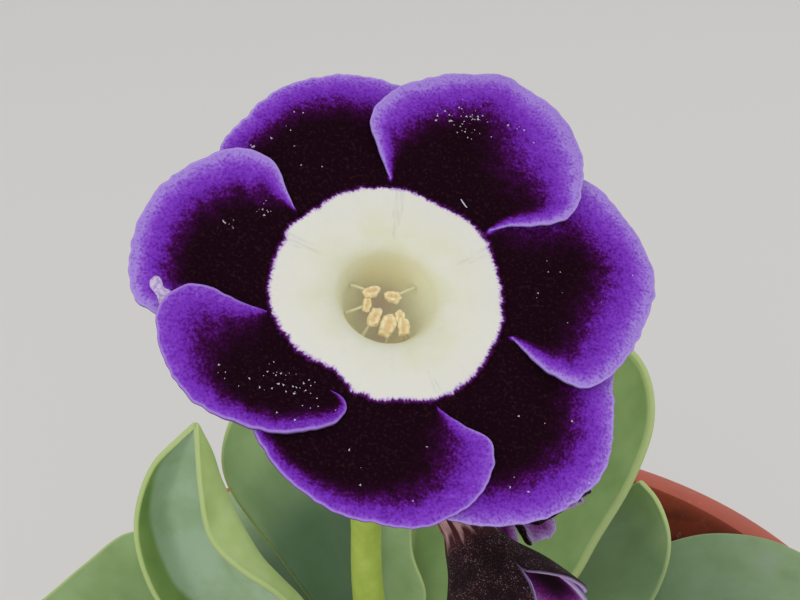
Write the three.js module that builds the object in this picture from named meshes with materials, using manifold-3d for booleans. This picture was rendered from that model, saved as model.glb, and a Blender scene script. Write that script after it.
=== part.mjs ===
// Auricula in a round nursery pot, with its soil, leaves, stalk and blooms.
// Millimetres, +Z up. The origin is the centre of the pot's underside and -Y is the front.
import * as THREE from "three";
import { mergeVertices } from "three/addons/utils/BufferGeometryUtils.js";
import Module from "manifold-3d";

const wasm = await Module();
wasm.setup();

// Pot
const RIM_RADIUS = 40;
const POT_HEIGHT = 74;
const FOOT_RADIUS = 27;
const SHOULDER_RADIUS = 37;
const BAND_HEIGHT = 12;
const LIP_WIDTH = 2.8;
const WALL = 1.4;
const FLOOR = 2.2;
const CHANNEL_DEPTH = 1;
const DRAIN_COUNT = 8;
const DRAIN_RADIUS = 2.4;
const DRAIN_CIRCLE = 17;

// Free space left between pieces that touch on the real plant
const GAP = 0.3;

// Soil and rootstock
const SOIL_TOP = 63;
const SOIL_RELIEF = 0.7;
const CROWN_X = -8.3;
const CROWN_Y = 2;
const CROWN_TOP = 72.6;
const CROWN_RADIUS = 4.2;

// Leaves
const MARGIN_THICKNESS = 0.62;
const RIB_THICKNESS = 0.75;
const LEAF_ROWS = 11;
const LEAF_COLUMNS = 6;

// Main bloom
const PIP_CENTRE = new THREE.Vector3(-7.5, -17.3, 122.7);
const PIP_FACING = new THREE.Vector3(0.185, -0.606, 0.774).normalize();
const EYE_RADIUS = 8.1;
const PETAL_ROOT = 8.4;
const PETAL_THICKNESS = 0.6;
const PETAL_LAP = 0.55;
const TUBE_LENGTH = 11.3;
const TUBE_RADIUS = 2.2;
const ANTHER_COUNT = 7;
const ANTHER_CIRCLE = 1.35;

// Stalk
const STALK_RADIUS = 1.4;
const PEDICEL_RADIUS = 0.75;
const UMBEL = new THREE.Vector3(-9.5, -2, 98);

const COLOURS = {
  pot: "#9c5046",
  soil: "#3b2b22",
  crown: "#8a7a52",
  leaf: "#6f8f58",
  stalk: "#97a94a",
  petal: "#55217c",
  eye: "#d8d8cc",
  bud: "#34192c",
};

const v3 = (x, y, z) => new THREE.Vector3(x, y, z);
const polar = (radius, degrees, z = 0) => {
  const angle = THREE.MathUtils.degToRad(degrees);
  return v3(radius * Math.cos(angle), radius * Math.sin(angle), z);
};

// Turns a closed geometry into a solid with its faces out.
function solid(geometry) {
  const bare = geometry.clone();
  bare.deleteAttribute("normal");
  bare.deleteAttribute("uv");
  const merged = mergeVertices(bare, 1e-4);
  const points = merged.attributes.position.array;
  const index = merged.index.array;
  const corner = (k) => v3(points[3 * k], points[3 * k + 1], points[3 * k + 2]);
  const faces = [];
  let volume = 0;
  for (let i = 0; i < index.length; i += 3) {
    const [a, b, c] = [index[i], index[i + 1], index[i + 2]];
    if (a === b || b === c || c === a) continue;
    faces.push([a, b, c]);
    volume += corner(a).dot(corner(b).cross(corner(c)));
  }
  const outward = volume < 0 ? faces.map(([a, b, c]) => [a, c, b]) : faces;
  return new wasm.Manifold(new wasm.Mesh({
    numProp: 3,
    vertProperties: new Float32Array(points),
    triVerts: new Uint32Array(outward.flat()),
  }));
}

// Fuses solids into one body, without points closer together than the tolerance or stray crumbs.
function unite(solids, tolerance = 0.03) {
  const whole = solids.reduce((sum, piece) => sum.add(piece)).simplify(tolerance);
  return whole.decompose().reduce((main, piece) => (piece.volume() > main.volume() ? piece : main));
}

function node(name, body, colour, roughness) {
  const mesh = body.getMesh();
  const geometry = new THREE.BufferGeometry();
  geometry.setAttribute("position", new THREE.BufferAttribute(mesh.vertProperties.slice(), 3));
  geometry.setIndex(Array.from(mesh.triVerts));
  geometry.computeVertexNormals();
  const material = new THREE.MeshStandardMaterial({ color: colour, roughness, metalness: 0 });
  const piece = new THREE.Mesh(geometry, material);
  piece.name = name;
  return piece;
}

// A frame that stands at a point with its local Z along a facing direction.
function frameAt(point, facing) {
  const across = v3(1, 0, 0).addScaledVector(facing, -facing.x).normalize();
  const up = new THREE.Vector3().crossVectors(facing, across);
  return new THREE.Matrix4().makeBasis(across, up, facing).setPosition(point);
}

// A profile of [radius, height] pairs spun about Z, with its points moved by a formula if one is given.
function turned(profile, segments, move) {
  const outline = profile.map(([radius, height]) => new THREE.Vector2(radius, height));
  const geometry = new THREE.LatheGeometry(outline, segments).rotateX(Math.PI / 2);
  if (move) {
    const place = geometry.attributes.position;
    for (let i = 0; i < place.count; i += 1) {
      const point = move(v3(place.getX(i), place.getY(i), place.getZ(i)));
      place.setXYZ(i, point.x, point.y, point.z);
    }
  }
  return geometry;
}

// A grid of rows given thickness to both sides; its last row may close to a point.
function blade(grid, thickness) {
  const last = grid.length - 1;
  const side = grid[0].length - 1;
  const closed = grid[last][0].distanceTo(grid[last][side]) < 1e-6;
  const normal = (i, j) => {
    const row = closed && i === last ? last - 1 : i;
    const column = closed && i === last ? Math.round(side / 2) : j;
    const along = grid[Math.min(row + 1, last)][column].clone().sub(grid[Math.max(row - 1, 0)][column]);
    const over = grid[row][Math.min(column + 1, side)].clone().sub(grid[row][Math.max(column - 1, 0)]);
    return over.cross(along).normalize();
  };
  const layer = (sign) => grid.map((row, i) => row.map((point, j) =>
    point.clone().addScaledVector(normal(i, j), (sign * thickness(i / last, j / side)) / 2)));
  const top = layer(1);
  const bottom = layer(-1);
  const points = [];
  const quad = (a, b, c, d) => {
    for (const point of [a, b, c, a, c, d]) points.push(point.x, point.y, point.z);
  };
  for (let i = 0; i < last; i += 1) {
    for (let j = 0; j < side; j += 1) {
      quad(top[i][j], top[i][j + 1], top[i + 1][j + 1], top[i + 1][j]);
      quad(bottom[i + 1][j + 1], bottom[i][j + 1], bottom[i][j], bottom[i + 1][j]);
    }
    quad(bottom[i][0], top[i][0], top[i + 1][0], bottom[i + 1][0]);
    quad(top[i][side], bottom[i][side], bottom[i + 1][side], top[i + 1][side]);
  }
  for (let j = 0; j < side; j += 1) {
    quad(bottom[0][j], bottom[0][j + 1], top[0][j + 1], top[0][j]);
    quad(top[last][j], top[last][j + 1], bottom[last][j + 1], bottom[last][j]);
  }
  const geometry = new THREE.BufferGeometry();
  geometry.setAttribute("position", new THREE.Float32BufferAttribute(points, 3));
  return geometry;
}

// A round rod through points, its radius running evenly through a list of radii.
function rod(path, radii, sides, steps) {
  const curve = new THREE.CatmullRomCurve3(path);
  const frames = curve.computeFrenetFrames(steps, false);
  const points = [];
  const ring = (i) => {
    const place = (i / steps) * (radii.length - 1);
    const k = Math.min(Math.floor(place), radii.length - 2);
    const radius = THREE.MathUtils.lerp(radii[k], radii[k + 1], place - k);
    const centre = curve.getPointAt(i / steps);
    return Array.from({ length: sides }, (_, j) => {
      const angle = (2 * Math.PI * j) / sides;
      return centre.clone()
        .addScaledVector(frames.normals[i], radius * Math.cos(angle))
        .addScaledVector(frames.binormals[i], radius * Math.sin(angle));
    });
  };
  const push = (...corners) => corners.forEach((p) => points.push(p.x, p.y, p.z));
  const start = curve.getPointAt(0);
  const end = curve.getPointAt(1);
  for (let i = 0; i < steps; i += 1) {
    const [near, far] = [ring(i), ring(i + 1)];
    for (let j = 0; j < sides; j += 1) {
      const next = (j + 1) % sides;
      push(near[j], near[next], far[next], near[j], far[next], far[j]);
      if (i === 0) push(start, near[next], near[j]);
      if (i === steps - 1) push(end, far[j], far[next]);
    }
  }
  const geometry = new THREE.BufferGeometry();
  geometry.setAttribute("position", new THREE.Float32BufferAttribute(points, 3));
  return geometry;
}

// Pot: tapered body, wider band below a flat lip, drain holes in a shallow channel under the floor.
const bandFoot = POT_HEIGHT - BAND_HEIGHT;
const lipInner = RIM_RADIUS - LIP_WIDTH;

function makePot() {
  const shell = turned([
    [0, 0],
    [DRAIN_CIRCLE - 6, 0],
    [DRAIN_CIRCLE - 5, CHANNEL_DEPTH],
    [DRAIN_CIRCLE + 5, CHANNEL_DEPTH],
    [DRAIN_CIRCLE + 6, 0],
    [FOOT_RADIUS - 0.6, 0],
    [FOOT_RADIUS, 0.8],
    [SHOULDER_RADIUS, bandFoot],
    [SHOULDER_RADIUS + 1.2, bandFoot + 0.6],
    [RIM_RADIUS - 0.6, POT_HEIGHT - 2.2],
    [RIM_RADIUS, POT_HEIGHT - 0.6],
    [RIM_RADIUS - 0.6, POT_HEIGHT],
    [lipInner, POT_HEIGHT - 0.3],
    [lipInner - 0.3, POT_HEIGHT - 3],
    [SHOULDER_RADIUS - WALL, bandFoot],
    [FOOT_RADIUS - WALL, FLOOR + 1],
    [FOOT_RADIUS - WALL - 1, FLOOR],
    [0, FLOOR],
  ], 44);
  let body = solid(shell);
  for (let i = 0; i < DRAIN_COUNT; i += 1) {
    const drain = new THREE.CylinderGeometry(DRAIN_RADIUS, DRAIN_RADIUS, 6, 12).rotateX(Math.PI / 2);
    const place = polar(DRAIN_CIRCLE, (360 * (i + 0.5)) / DRAIN_COUNT, 1);
    body = body.subtract(solid(drain.translate(place.x, place.y, place.z)));
  }
  return body;
}

// Rootstock: a short knobbly carrot that stands in the soil and carries leaves and stalk.
function crownShape(grow) {
  const knobs = (point) => {
    const angle = Math.atan2(point.y, point.x);
    const swell = 1 + 0.03 * Math.sin(3 * angle + point.z) + 0.02 * Math.sin(5 * angle - 0.7 * point.z);
    return v3(point.x * swell + CROWN_X, point.y * swell + CROWN_Y, point.z);
  };
  return solid(turned([
    [0, 55 - grow],
    [2.4 + grow, 55 - grow],
    [3.4 + grow, 59],
    [3.9 + grow, 63],
    [CROWN_RADIUS + grow, 67],
    [CROWN_RADIUS + grow, 70.5],
    [3.3 + grow, CROWN_TOP + grow],
    [0, CROWN_TOP + grow],
  ], 18, knobs));
}

// Soil: fills the pot to a finger's width under the lip, crumbly on top, with a hole for the rootstock.
function makeSoil() {
  const footInner = FOOT_RADIUS - WALL;
  const topInner = SHOULDER_RADIUS - WALL;
  const inner = (z) => THREE.MathUtils.mapLinear(z, FLOOR + 1, bandFoot, footInner, topInner);
  const foot = FLOOR + GAP;
  const edge = SOIL_TOP - 0.8;
  const rings = [34, 30, 25, 19, 12, 5];
  const crumbs = (point) => {
    const radius = Math.hypot(point.x, point.y);
    if (point.z < SOIL_TOP - 0.1 || radius < 0.1) return point;
    const wave = Math.sin(0.9 * point.x + 1.7 * Math.sin(0.5 * point.y)) * Math.cos(0.8 * point.y);
    const mound = 0.8 * Math.exp(-((point.x - CROWN_X) ** 2 + (point.y - CROWN_Y) ** 2) / 90);
    return v3(point.x, point.y, point.z + SOIL_RELIEF * wave + mound);
  };
  const body = solid(turned([
    [0, foot],
    [inner(foot) - 1.6, foot],
    [inner(foot + 1.4) - GAP - 0.05, foot + 1.4],
    [inner(edge) - GAP - 0.1, edge],
    ...rings.map((radius) => [radius, SOIL_TOP]),
    [0, SOIL_TOP + 0.4],
  ], 44, crumbs));
  return body.subtract(crownShape(GAP));
}

// Leaves. Each has guide curves from its left to its right margin as seen from the rootstock outwards.
// They start at a foot on the rootstock, given by a turn in degrees and a height, and meet in the tip.
// A leaf that is folded over on itself names the column of the grid where its fold runs, and where
// its guides start across the foot, as shares of the foot's width.
const LEAVES = {
  leaf_1: {
    foot: [190, 66.6],
    tip: [-46, -6, 79.2],
    guides: [
      [[-19, -2.5, 68.5], [-28, -6, 73], [-35, -9.5, 77], [-40.5, -11, 78.7], [-44.2, -9.3, 79.2]],
      [[-20, 1, 68.5], [-30, 2, 73.5], [-38, -0.5, 77.5]],
      [[-20, 7, 71], [-29, 14, 77.5], [-34.5, 14, 80], [-38, 8, 81], [-41, 2.5, 81.3], [-44.6, -2, 80.3]],
    ],
  },
  leaf_2: {
    foot: [174, 70.3],
    tip: [-26, 8.5, 96],
    fold: 4,
    starts: [-0.5, -0.1, 0.5, 0.1],
    guides: [
      [[-22, 0.5, 72.5], [-26.5, 1, 76.5], [-30, 2, 80.5], [-32, 5, 86], [-30.5, 7.5, 91.5],
        [-28, 8.5, 94]],
      [[-19.5, 2, 73.5], [-24, 4, 76], [-27, 7, 78], [-29, 9.5, 81.5], [-29.5, 10.5, 86],
        [-28, 10.5, 90.5]],
      [[-13.5, 3, 74.5], [-16.5, 3.5, 79], [-20, 5.5, 82], [-23.5, 8, 89.5], [-24.5, 8.5, 93]],
      [[-13.5, 1.5, 74.5], [-18.5, 1, 82], [-21.5, 1.5, 84], [-24.5, 3, 86.5], [-25.5, 5, 91]],
    ],
  },
  leaf_3: {
    foot: [104, 70],
    tip: [-18, 18, 96],
    guides: [
      [[-12, 4.5, 72.5], [-15.5, 6, 77], [-18.5, 8, 80.5], [-24, 13, 87], [-24, 14.5, 91], [-22, 16, 94.5]],
      [[-9.5, 6.5, 71], [-11.5, 9, 74.5], [-13.5, 13, 79], [-16, 16.5, 84], [-17, 18.5, 89.5]],
      [[-6.5, 6, 72], [-4, 8, 75.5], [-5.5, 10.5, 79.5], [-5.5, 13.5, 85], [-7.5, 16.5, 90], [-12, 18, 94]],
    ],
  },
  leaf_4: {
    foot: [50, 69.6],
    tip: [14, 21.5, 99.5],
    guides: [
      [[-6, 11, 73], [-5.5, 16.5, 79], [-2, 20.5, 86.5], [4, 23.5, 92.5], [9.5, 23.5, 97]],
      [[-4, 6, 70.5], [0.5, 10, 74], [4.5, 15, 80], [8.5, 19, 86], [11.5, 22, 92]],
      [[0, 3.5, 73.5], [9.5, 5, 79], [12.5, 7, 83.5], [16, 9.5, 89], [18, 12.5, 94], [17.5, 16.5, 97.5]],
    ],
  },
  leaf_5: {
    foot: [22, 67.2],
    tip: [19, 17, 83.5],
    guides: [
      [[0.5, 8.5, 71], [6, 15, 74.5], [11.5, 19.5, 77], [16, 20, 80.5]],
      [[3, 4.5, 70], [9.5, 9.5, 74.5], [14, 14, 77], [17.5, 17, 80]],
      [[9, 1, 72.5], [16.5, 4, 76], [19.5, 7.5, 79], [20.5, 11, 81], [20, 14.5, 83]],
    ],
  },
  leaf_6: {
    foot: [2, 65],
    tip: [43, 4, 75.5],
    guides: [
      [[4, 8, 68.5], [13, 14, 73], [23.5, 16.5, 77], [29, 18.5, 76], [33, 18, 75.3], [36.5, 14.5, 75.4],
        [41, 9.2, 75.5]],
      [[5, 4.5, 66.5], [14, 6, 70.5], [25, 7.5, 74], [35, 7.5, 75.5]],
      [[4, -0.5, 67.5], [13, -2, 71.5], [24, -4.5, 75.5], [34, -4.2, 76.5], [40.3, -1.3, 76]],
    ],
  },
  leaf_7: {
    foot: [134, 66.2],
    tip: [-23.5, 26, 77.5],
    guides: [
      [[-15.5, 8, 68.5], [-20.5, 14.5, 72], [-25.5, 20, 75.5], [-26, 23.8, 77]],
      [[-13, 9.5, 68], [-17, 17, 71.5], [-21.5, 23, 75]],
      [[-10.5, 9.5, 68.5], [-12.5, 17.5, 72], [-16.5, 24, 76], [-20.3, 26.4, 77.3]],
    ],
  },
  leaf_8: {
    foot: [230, 68.6],
    tip: [-35, -26.5, 82.5],
    guides: [
      [[-15, -7, 71.5], [-20.5, -16, 77], [-27, -25.5, 81.5], [-31.5, -27.7, 82.5]],
      [[-17.5, -5.5, 70.5], [-25, -13.5, 75.5], [-31.5, -22, 80]],
      [[-19, -3.5, 72.5], [-28, -8, 78], [-36, -15.5, 82], [-37.2, -21.5, 82.8]],
    ],
  },
  leaf_9: {
    foot: [272, 65.8],
    tip: [-7, -41.5, 76.5],
    guides: [
      [[-3, -9, 69], [1, -19, 73.5], [2.5, -30, 76.5], [0.5, -37, 77], [-3, -40.7, 76.8]],
      [[-7.5, -10, 67.5], [-7, -20, 71.5], [-7, -31, 75.5]],
      [[-11.5, -9.5, 69], [-14.5, -19, 73], [-16, -30, 76], [-13.5, -37.5, 77], [-10.6, -40.8, 76.8]],
    ],
  },
  leaf_10: {
    foot: [312, 68.2],
    tip: [19, -26, 84.5],
    guides: [
      [[0.5, -1.5, 71.5], [8.5, -6, 77], [17.5, -11.5, 82], [22, -18, 84.5], [22.2, -22.7, 84.9]],
      [[-1.5, -6, 70.5], [6, -12.5, 75], [14, -19.5, 80]],
      [[-3.5, -8.5, 72], [0, -17, 77.5], [7, -25.5, 82], [13.5, -27.7, 83.9]],
    ],
  },
  leaf_11: {
    foot: [338, 70.8],
    tip: [2, -3, 81.5],
    guides: [
      [[-2, 1.2, 74], [1, 1, 78.5], [2.4, -0.8, 80.7]],
      [[-2.8, -0.8, 73.5], [0, -1.5, 77.5]],
      [[-3.6, -2.4, 74], [-1.5, -4, 78.5], [0.3, -4.1, 80.7]],
    ],
  },
};
const FOOT_WIDTH = 3.2;

function makeLeaf({ foot, tip, guides, fold, starts }) {
  const [turn, height] = foot;
  const outward = polar(1, turn);
  const right = v3(outward.y, -outward.x, 0);
  const base = v3(CROWN_X, CROWN_Y, height).addScaledVector(outward, CROWN_RADIUS - 0.4);
  const curves = guides.map((points, k) => {
    const share = starts ? starts[k] : k / (guides.length - 1) - 0.5;
    const start = base.clone().addScaledVector(right, share * FOOT_WIDTH);
    return new THREE.CatmullRomCurve3([start, ...points.map((p) => v3(...p)), v3(...tip)]);
  });
  const grid = Array.from({ length: LEAF_ROWS + 1 }, (_, i) => {
    const even = i / LEAF_ROWS;
    const along = 0.55 * even + 0.45 * Math.sin((even * Math.PI) / 2);
    const stations = curves.map((curve) => curve.getPointAt(Math.min(along, 1)));
    const across = new THREE.CatmullRomCurve3(stations);
    return Array.from({ length: LEAF_COLUMNS + 1 }, (_, j) =>
      i === LEAF_ROWS ? v3(...tip) : across.getPoint(j / LEAF_COLUMNS));
  });
  const thickness = (along, across) =>
    MARGIN_THICKNESS + RIB_THICKNESS * (1 - Math.abs(2 * across - 1)) * (1 - along);
  if (!fold) return solid(blade(grid, thickness)).subtract(crownShape(GAP));
  const spine = grid.map((row) => row[fold]);
  const halves = [grid.map((row) => row.slice(0, fold + 1)), grid.map((row) => row.slice(fold))];
  const bend = rod(spine, [MARGIN_THICKNESS / 2, MARGIN_THICKNESS / 2], 8, LEAF_ROWS);
  return unite([solid(bend), ...halves.map((half) => solid(blade(half, thickness)))])
    .subtract(crownShape(GAP));
}

// Petals of the main bloom. Each outline runs anticlockwise from one notch to the next, as
// [degrees, radius] about the eye; laps tell whether each side lies over (1) or under (-1) its neighbour.
const PETALS = [
  {
    laps: [-1, -1],
    outline: [[90, 9], [83, 11], [79, 14], [82, 16.2], [90, 17.1], [102, 17.7], [113, 17.6], [122, 17.1],
      [134, 16.2], [141, 15.7], [147, 14], [147, 11], [139, 9]],
  },
  {
    laps: [1, 1],
    outline: [[37, 9], [33, 11.4], [30, 13.6], [32, 15.9], [37, 17.9], [44, 19.4], [54, 20.2], [65, 20.4],
      [73, 19.5], [80, 18], [87, 16.6], [93, 15.3], [96, 13.2], [94, 11], [90, 9]],
  },
  {
    laps: [1, -1],
    outline: [[342, 9], [337, 11], [335, 13.5], [339, 15.6], [346, 16.8], [357, 18.3], [368, 19.4],
      [380, 19.2], [389, 18.5], [396, 17.6], [403, 15.5], [404, 12], [397, 9]],
  },
  {
    laps: [-1, -1],
    outline: [[292, 9], [284, 10.5], [279, 13.5], [284, 16], [293, 17.3], [305, 18.2], [316, 18.6],
      [326, 18.3], [335, 17.2], [344, 16.2], [352, 14], [350, 11], [342, 9]],
  },
  {
    laps: [-1, 1],
    outline: [[243, 9], [232, 10], [227, 12], [229, 13.4], [237, 14.7], [246, 15.9], [256, 16.4],
      [268, 16.4], [277, 16.5], [287, 15.7], [296, 14.8], [303, 13.4], [304, 12], [300, 10.5], [292, 9]],
  },
  {
    laps: [1, 1],
    outline: [[194, 9], [186, 10.6], [181, 12.8], [183, 14.6], [190, 15.8], [200, 16.3], [209, 16],
      [219, 15], [229, 13.7], [238, 12.5], [246, 11.2], [251, 9.9], [249, 9.4], [243, 9]],
  },
  {
    laps: [1, -1],
    outline: [[139, 9], [133, 11], [131, 12.8], [135, 14.8], [142, 16], [152, 17], [163, 17.7],
      [175, 17.8], [184, 17.3], [192, 16.2], [200, 14.6], [201, 11.5], [194, 9]],
  },
];
const PETAL_STATIONS = 20;
const ROOT_STATIONS = 4;
const PETAL_RINGS = [0.4, 0.75, 1];
const PETAL_MIDDLE = 12;
const PETAL_REACH = 9.5;

// Height of a petal above the plane of the eye: a shallow dish whose sides lie over or under.
// The side runs from -1 at one notch to 1 at the other.
function petalLift(point, from, to, laps) {
  const turn = THREE.MathUtils.radToDeg(Math.atan2(point.y, point.x));
  const middle = (from + to) / 2;
  const away = THREE.MathUtils.euclideanModulo(turn - middle + 180, 360) - 180;
  const side = THREE.MathUtils.clamp((2 * away) / (to - from), -1, 1);
  const along = Math.max(0, (Math.hypot(point.x, point.y) - PETAL_ROOT) / PETAL_REACH);
  const lap = side < 0 ? laps[0] : laps[1];
  const dish = 0.9 * Math.sin(along * 2.2) - 0.5 * along;
  const over = PETAL_LAP * lap * Math.abs(side) ** 1.4 * Math.min(1, 2.2 * along);
  return dish + over - 0.25 * (1 - side * side);
}

// A thin sheet in rings about a centre inside its outline, lifted by a formula.
function sheet(centre, outline, rings, lift, thickness) {
  const loops = rings.map((share) => outline.map((point) => centre.clone().lerp(point, share)));
  const points = [];
  const push = (sign, ...corners) => {
    for (const corner of corners) points.push(corner.x, corner.y, lift(corner) + (sign * thickness) / 2);
  };
  for (let j = 0; j < outline.length; j += 1) {
    const next = (j + 1) % outline.length;
    push(1, centre, loops[0][j], loops[0][next]);
    push(-1, centre, loops[0][next], loops[0][j]);
    for (let i = 1; i < loops.length; i += 1) {
      const [a, b, c, d] = [loops[i - 1][j], loops[i][j], loops[i][next], loops[i - 1][next]];
      push(1, a, b, c, a, c, d);
      push(-1, a, c, b, a, d, c);
    }
    const rim = loops[loops.length - 1];
    push(-1, rim[j], rim[next]);
    push(1, rim[next]);
    push(-1, rim[j]);
    push(1, rim[next], rim[j]);
  }
  const geometry = new THREE.BufferGeometry();
  geometry.setAttribute("position", new THREE.Float32BufferAttribute(points, 3));
  return geometry;
}

function makePetals() {
  const lobes = PETALS.map(({ laps, outline }) => {
    const [from, to] = [outline[0][0], outline[outline.length - 1][0]];
    const edge = new THREE.CatmullRomCurve3(outline.map(([degrees, radius]) => polar(radius, degrees)));
    const root = Array.from({ length: ROOT_STATIONS }, (_, i) =>
      polar(PETAL_ROOT + 0.2, THREE.MathUtils.lerp(to - 1, from + 1, i / (ROOT_STATIONS - 1))));
    const centre = polar(PETAL_MIDDLE, (from + to) / 2);
    const border = [...edge.getSpacedPoints(PETAL_STATIONS), ...root];
    const lift = (point) => petalLift(point, from, to, laps);
    return solid(sheet(centre, border, PETAL_RINGS, lift, PETAL_THICKNESS));
  });
  const ring = turned([
    [PETAL_ROOT, -0.55],
    [PETAL_ROOT + 1.2, -0.55],
    [PETAL_ROOT + 1.2, 0.15],
    [PETAL_ROOT, 0.15],
    [PETAL_ROOT, -0.55],
  ], 28);
  return unite([solid(ring), ...lobes]).transform(frameAt(PIP_CENTRE, PIP_FACING).elements);
}

// Eye, throat and tube of the main bloom with its anthers just inside the throat.
function makeEye() {
  const creases = (point) => {
    const radius = Math.hypot(point.x, point.y);
    const angle = Math.atan2(point.y, point.x) - THREE.MathUtils.degToRad(37);
    const depth = 0.16 * THREE.MathUtils.clamp((radius - 3.6) / 4, 0, 1);
    return v3(point.x, point.y, point.z - depth * Math.cos(7 * angle) ** 6);
  };
  const corolla = solid(turned([
    [0, -TUBE_LENGTH],
    [TUBE_RADIUS - 0.3, -TUBE_LENGTH],
    [TUBE_RADIUS, -8],
    [TUBE_RADIUS + 0.2, -4.5],
    [3.1, -2.4],
    [4.2, -0.9],
    [6, -0.45],
    [EYE_RADIUS, -0.5],
    [EYE_RADIUS, 0.1],
    [6.2, 0.3],
    [4.2, 0.1],
    [3.3, -0.5],
    [2.5, -1.8],
    [1.8, -3.8],
    [1.5, -6],
    [1.4, -10.4],
    [0, -10.4],
  ], 28, creases));
  const stamens = Array.from({ length: ANTHER_COUNT }, (_, i) => {
    const turn = (360 * i) / ANTHER_COUNT + 20;
    const anther = new THREE.SphereGeometry(1, 6, 4).scale(0.42, 0.36, 0.72).rotateX(-0.35);
    const place = polar(ANTHER_CIRCLE, turn);
    anther.rotateZ(THREE.MathUtils.degToRad(turn - 90)).translate(place.x, place.y, -2.1 - 0.25 * (i % 2));
    const filament = rod([polar(ANTHER_CIRCLE, turn, -2.4), polar(1.5, turn, -4.6)], [0.3, 0.35], 5, 1);
    return solid(anther).add(solid(filament));
  });
  return unite([corolla, ...stamens]).transform(frameAt(PIP_CENTRE, PIP_FACING).elements);
}

// A half-open bloom: overlapping lobes on a bell that widens from a closed tube.
function makeBell({ profile, tubeRadius, tubeLength, lobes, lobeStart, thickness }) {
  const bell = new THREE.CatmullRomCurve3(profile.map(([radius, height]) => v3(radius, 0, height)));
  const onBell = (turn, along) => {
    const point = bell.getPoint(along);
    return polar(point.x, turn, point.z);
  };
  const tube = solid(turned([
    [0, 0],
    [tubeRadius - 0.2, 0],
    [tubeRadius, tubeLength],
    ...profile.slice(0, 2).map(([radius, height]) => [radius + 0.2, height]),
    ...profile.slice(0, 2).reverse().map(([radius, height]) => [radius - 0.4, height + 0.2]),
    [tubeRadius - 0.8, tubeLength],
    [0, tubeLength - 0.4],
  ], 16));
  const petals = lobes.map(({ turn, half, reach, curl }) => {
    const grid = Array.from({ length: 5 }, (_, i) => Array.from({ length: 7 }, (_, j) => {
      const side = j / 3 - 1;
      const v = i / 4;
      const along = lobeStart + (reach - lobeStart) * v * (1 - 0.28 * side ** 4);
      const width = half * (0.8 + 0.2 * Math.sin(Math.PI * Math.min(1, v * 0.8)));
      const point = onBell(turn + side * width, along);
      const out = polar(1, turn + side * width);
      const lift = 0.42 * side * Math.min(1, 2 * v) + curl * v ** 3 * (1 - 0.4 * side * side);
      return point.addScaledVector(out, lift);
    }));
    return solid(blade(grid, () => thickness));
  });
  return unite([tube, ...petals]);
}

// Calyx: a green cup with pointed teeth around the foot of a bloom's tube.
function makeCalyx(tubeRadius, height, teeth) {
  const inner = tubeRadius + GAP;
  const points = (point) => {
    const angle = Math.atan2(point.y, point.x);
    const share = THREE.MathUtils.clamp((point.z - 0.5 * height) / (0.5 * height), 0, 1);
    const valley = 0.5 - 0.5 * Math.cos(teeth * angle);
    return v3(point.x, point.y, point.z - share * 0.35 * height * valley);
  };
  return solid(turned([
    [0, -1.8],
    [0.9, -1.7],
    [inner * 0.8 + 0.5, -0.9],
    [inner + 0.65, 0.6],
    [inner + 0.7, 0.5 * height],
    [inner + 0.9, height],
    [inner + 0.3, height],
    [inner, 0.5 * height],
    [inner, -GAP],
    [0, -GAP],
  ], 12, points));
}

// Places of the tubes' feet, the way the blooms face and the bends of their pedicels
const MAIN_FOOT = PIP_CENTRE.clone().addScaledVector(PIP_FACING, -TUBE_LENGTH);
const SIDE_FOOT = v3(-4.9, -15.4, 107.6);
const SIDE_FACING = v3(0.5, -0.6, -0.62).normalize();
const BUD_FOOT = v3(0.6, -8.3, 107.3);
const BUD_FACING = v3(0.39, -0.57, -0.72).normalize();
const MAIN_BEND = [[-10, -4.5, 104], [-10.4, -8, 109.5]];
const SIDE_BEND = [[-9, -7, 103.5], [-7.5, -12, 108]];
const BUD_BEND = [[-6.3, -3, 103.5], [-2.4, -5, 107.6]];

function makeSidePip() {
  const lobe = (turn, reach = 1, curl = 0.3) => ({ turn, half: 36, reach, curl });
  return makeBell({
    profile: [[1.9, 6.5], [2.6, 8.2], [4, 10.5], [4.9, 13], [5.6, 15]],
    tubeRadius: 1.6,
    tubeLength: 5.5,
    lobeStart: 0.12,
    thickness: 0.6,
    lobes: [lobe(20), lobe(80, 0.94), lobe(140), lobe(200, 0.96), lobe(260), lobe(320, 1, 1)],
  }).transform(frameAt(SIDE_FOOT, SIDE_FACING).elements);
}

function makeOpeningBud() {
  const lobe = (turn, reach, curl) => ({ turn, half: 40, reach, curl });
  return makeBell({
    profile: [[1.4, 3], [2.1, 4.5], [2.8, 6.4], [3.2, 8], [3.5, 9.3]],
    tubeRadius: 1.4,
    tubeLength: 2.2,
    lobeStart: 0.12,
    thickness: 0.6,
    lobes: [lobe(0, 1, 0.4), lobe(72, 0.9, 0), lobe(144, 1, 0.2), lobe(216, 0.92, 0.3), lobe(288, 1, 0.5)],
  }).transform(frameAt(BUD_FOOT, BUD_FACING).elements);
}

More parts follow.
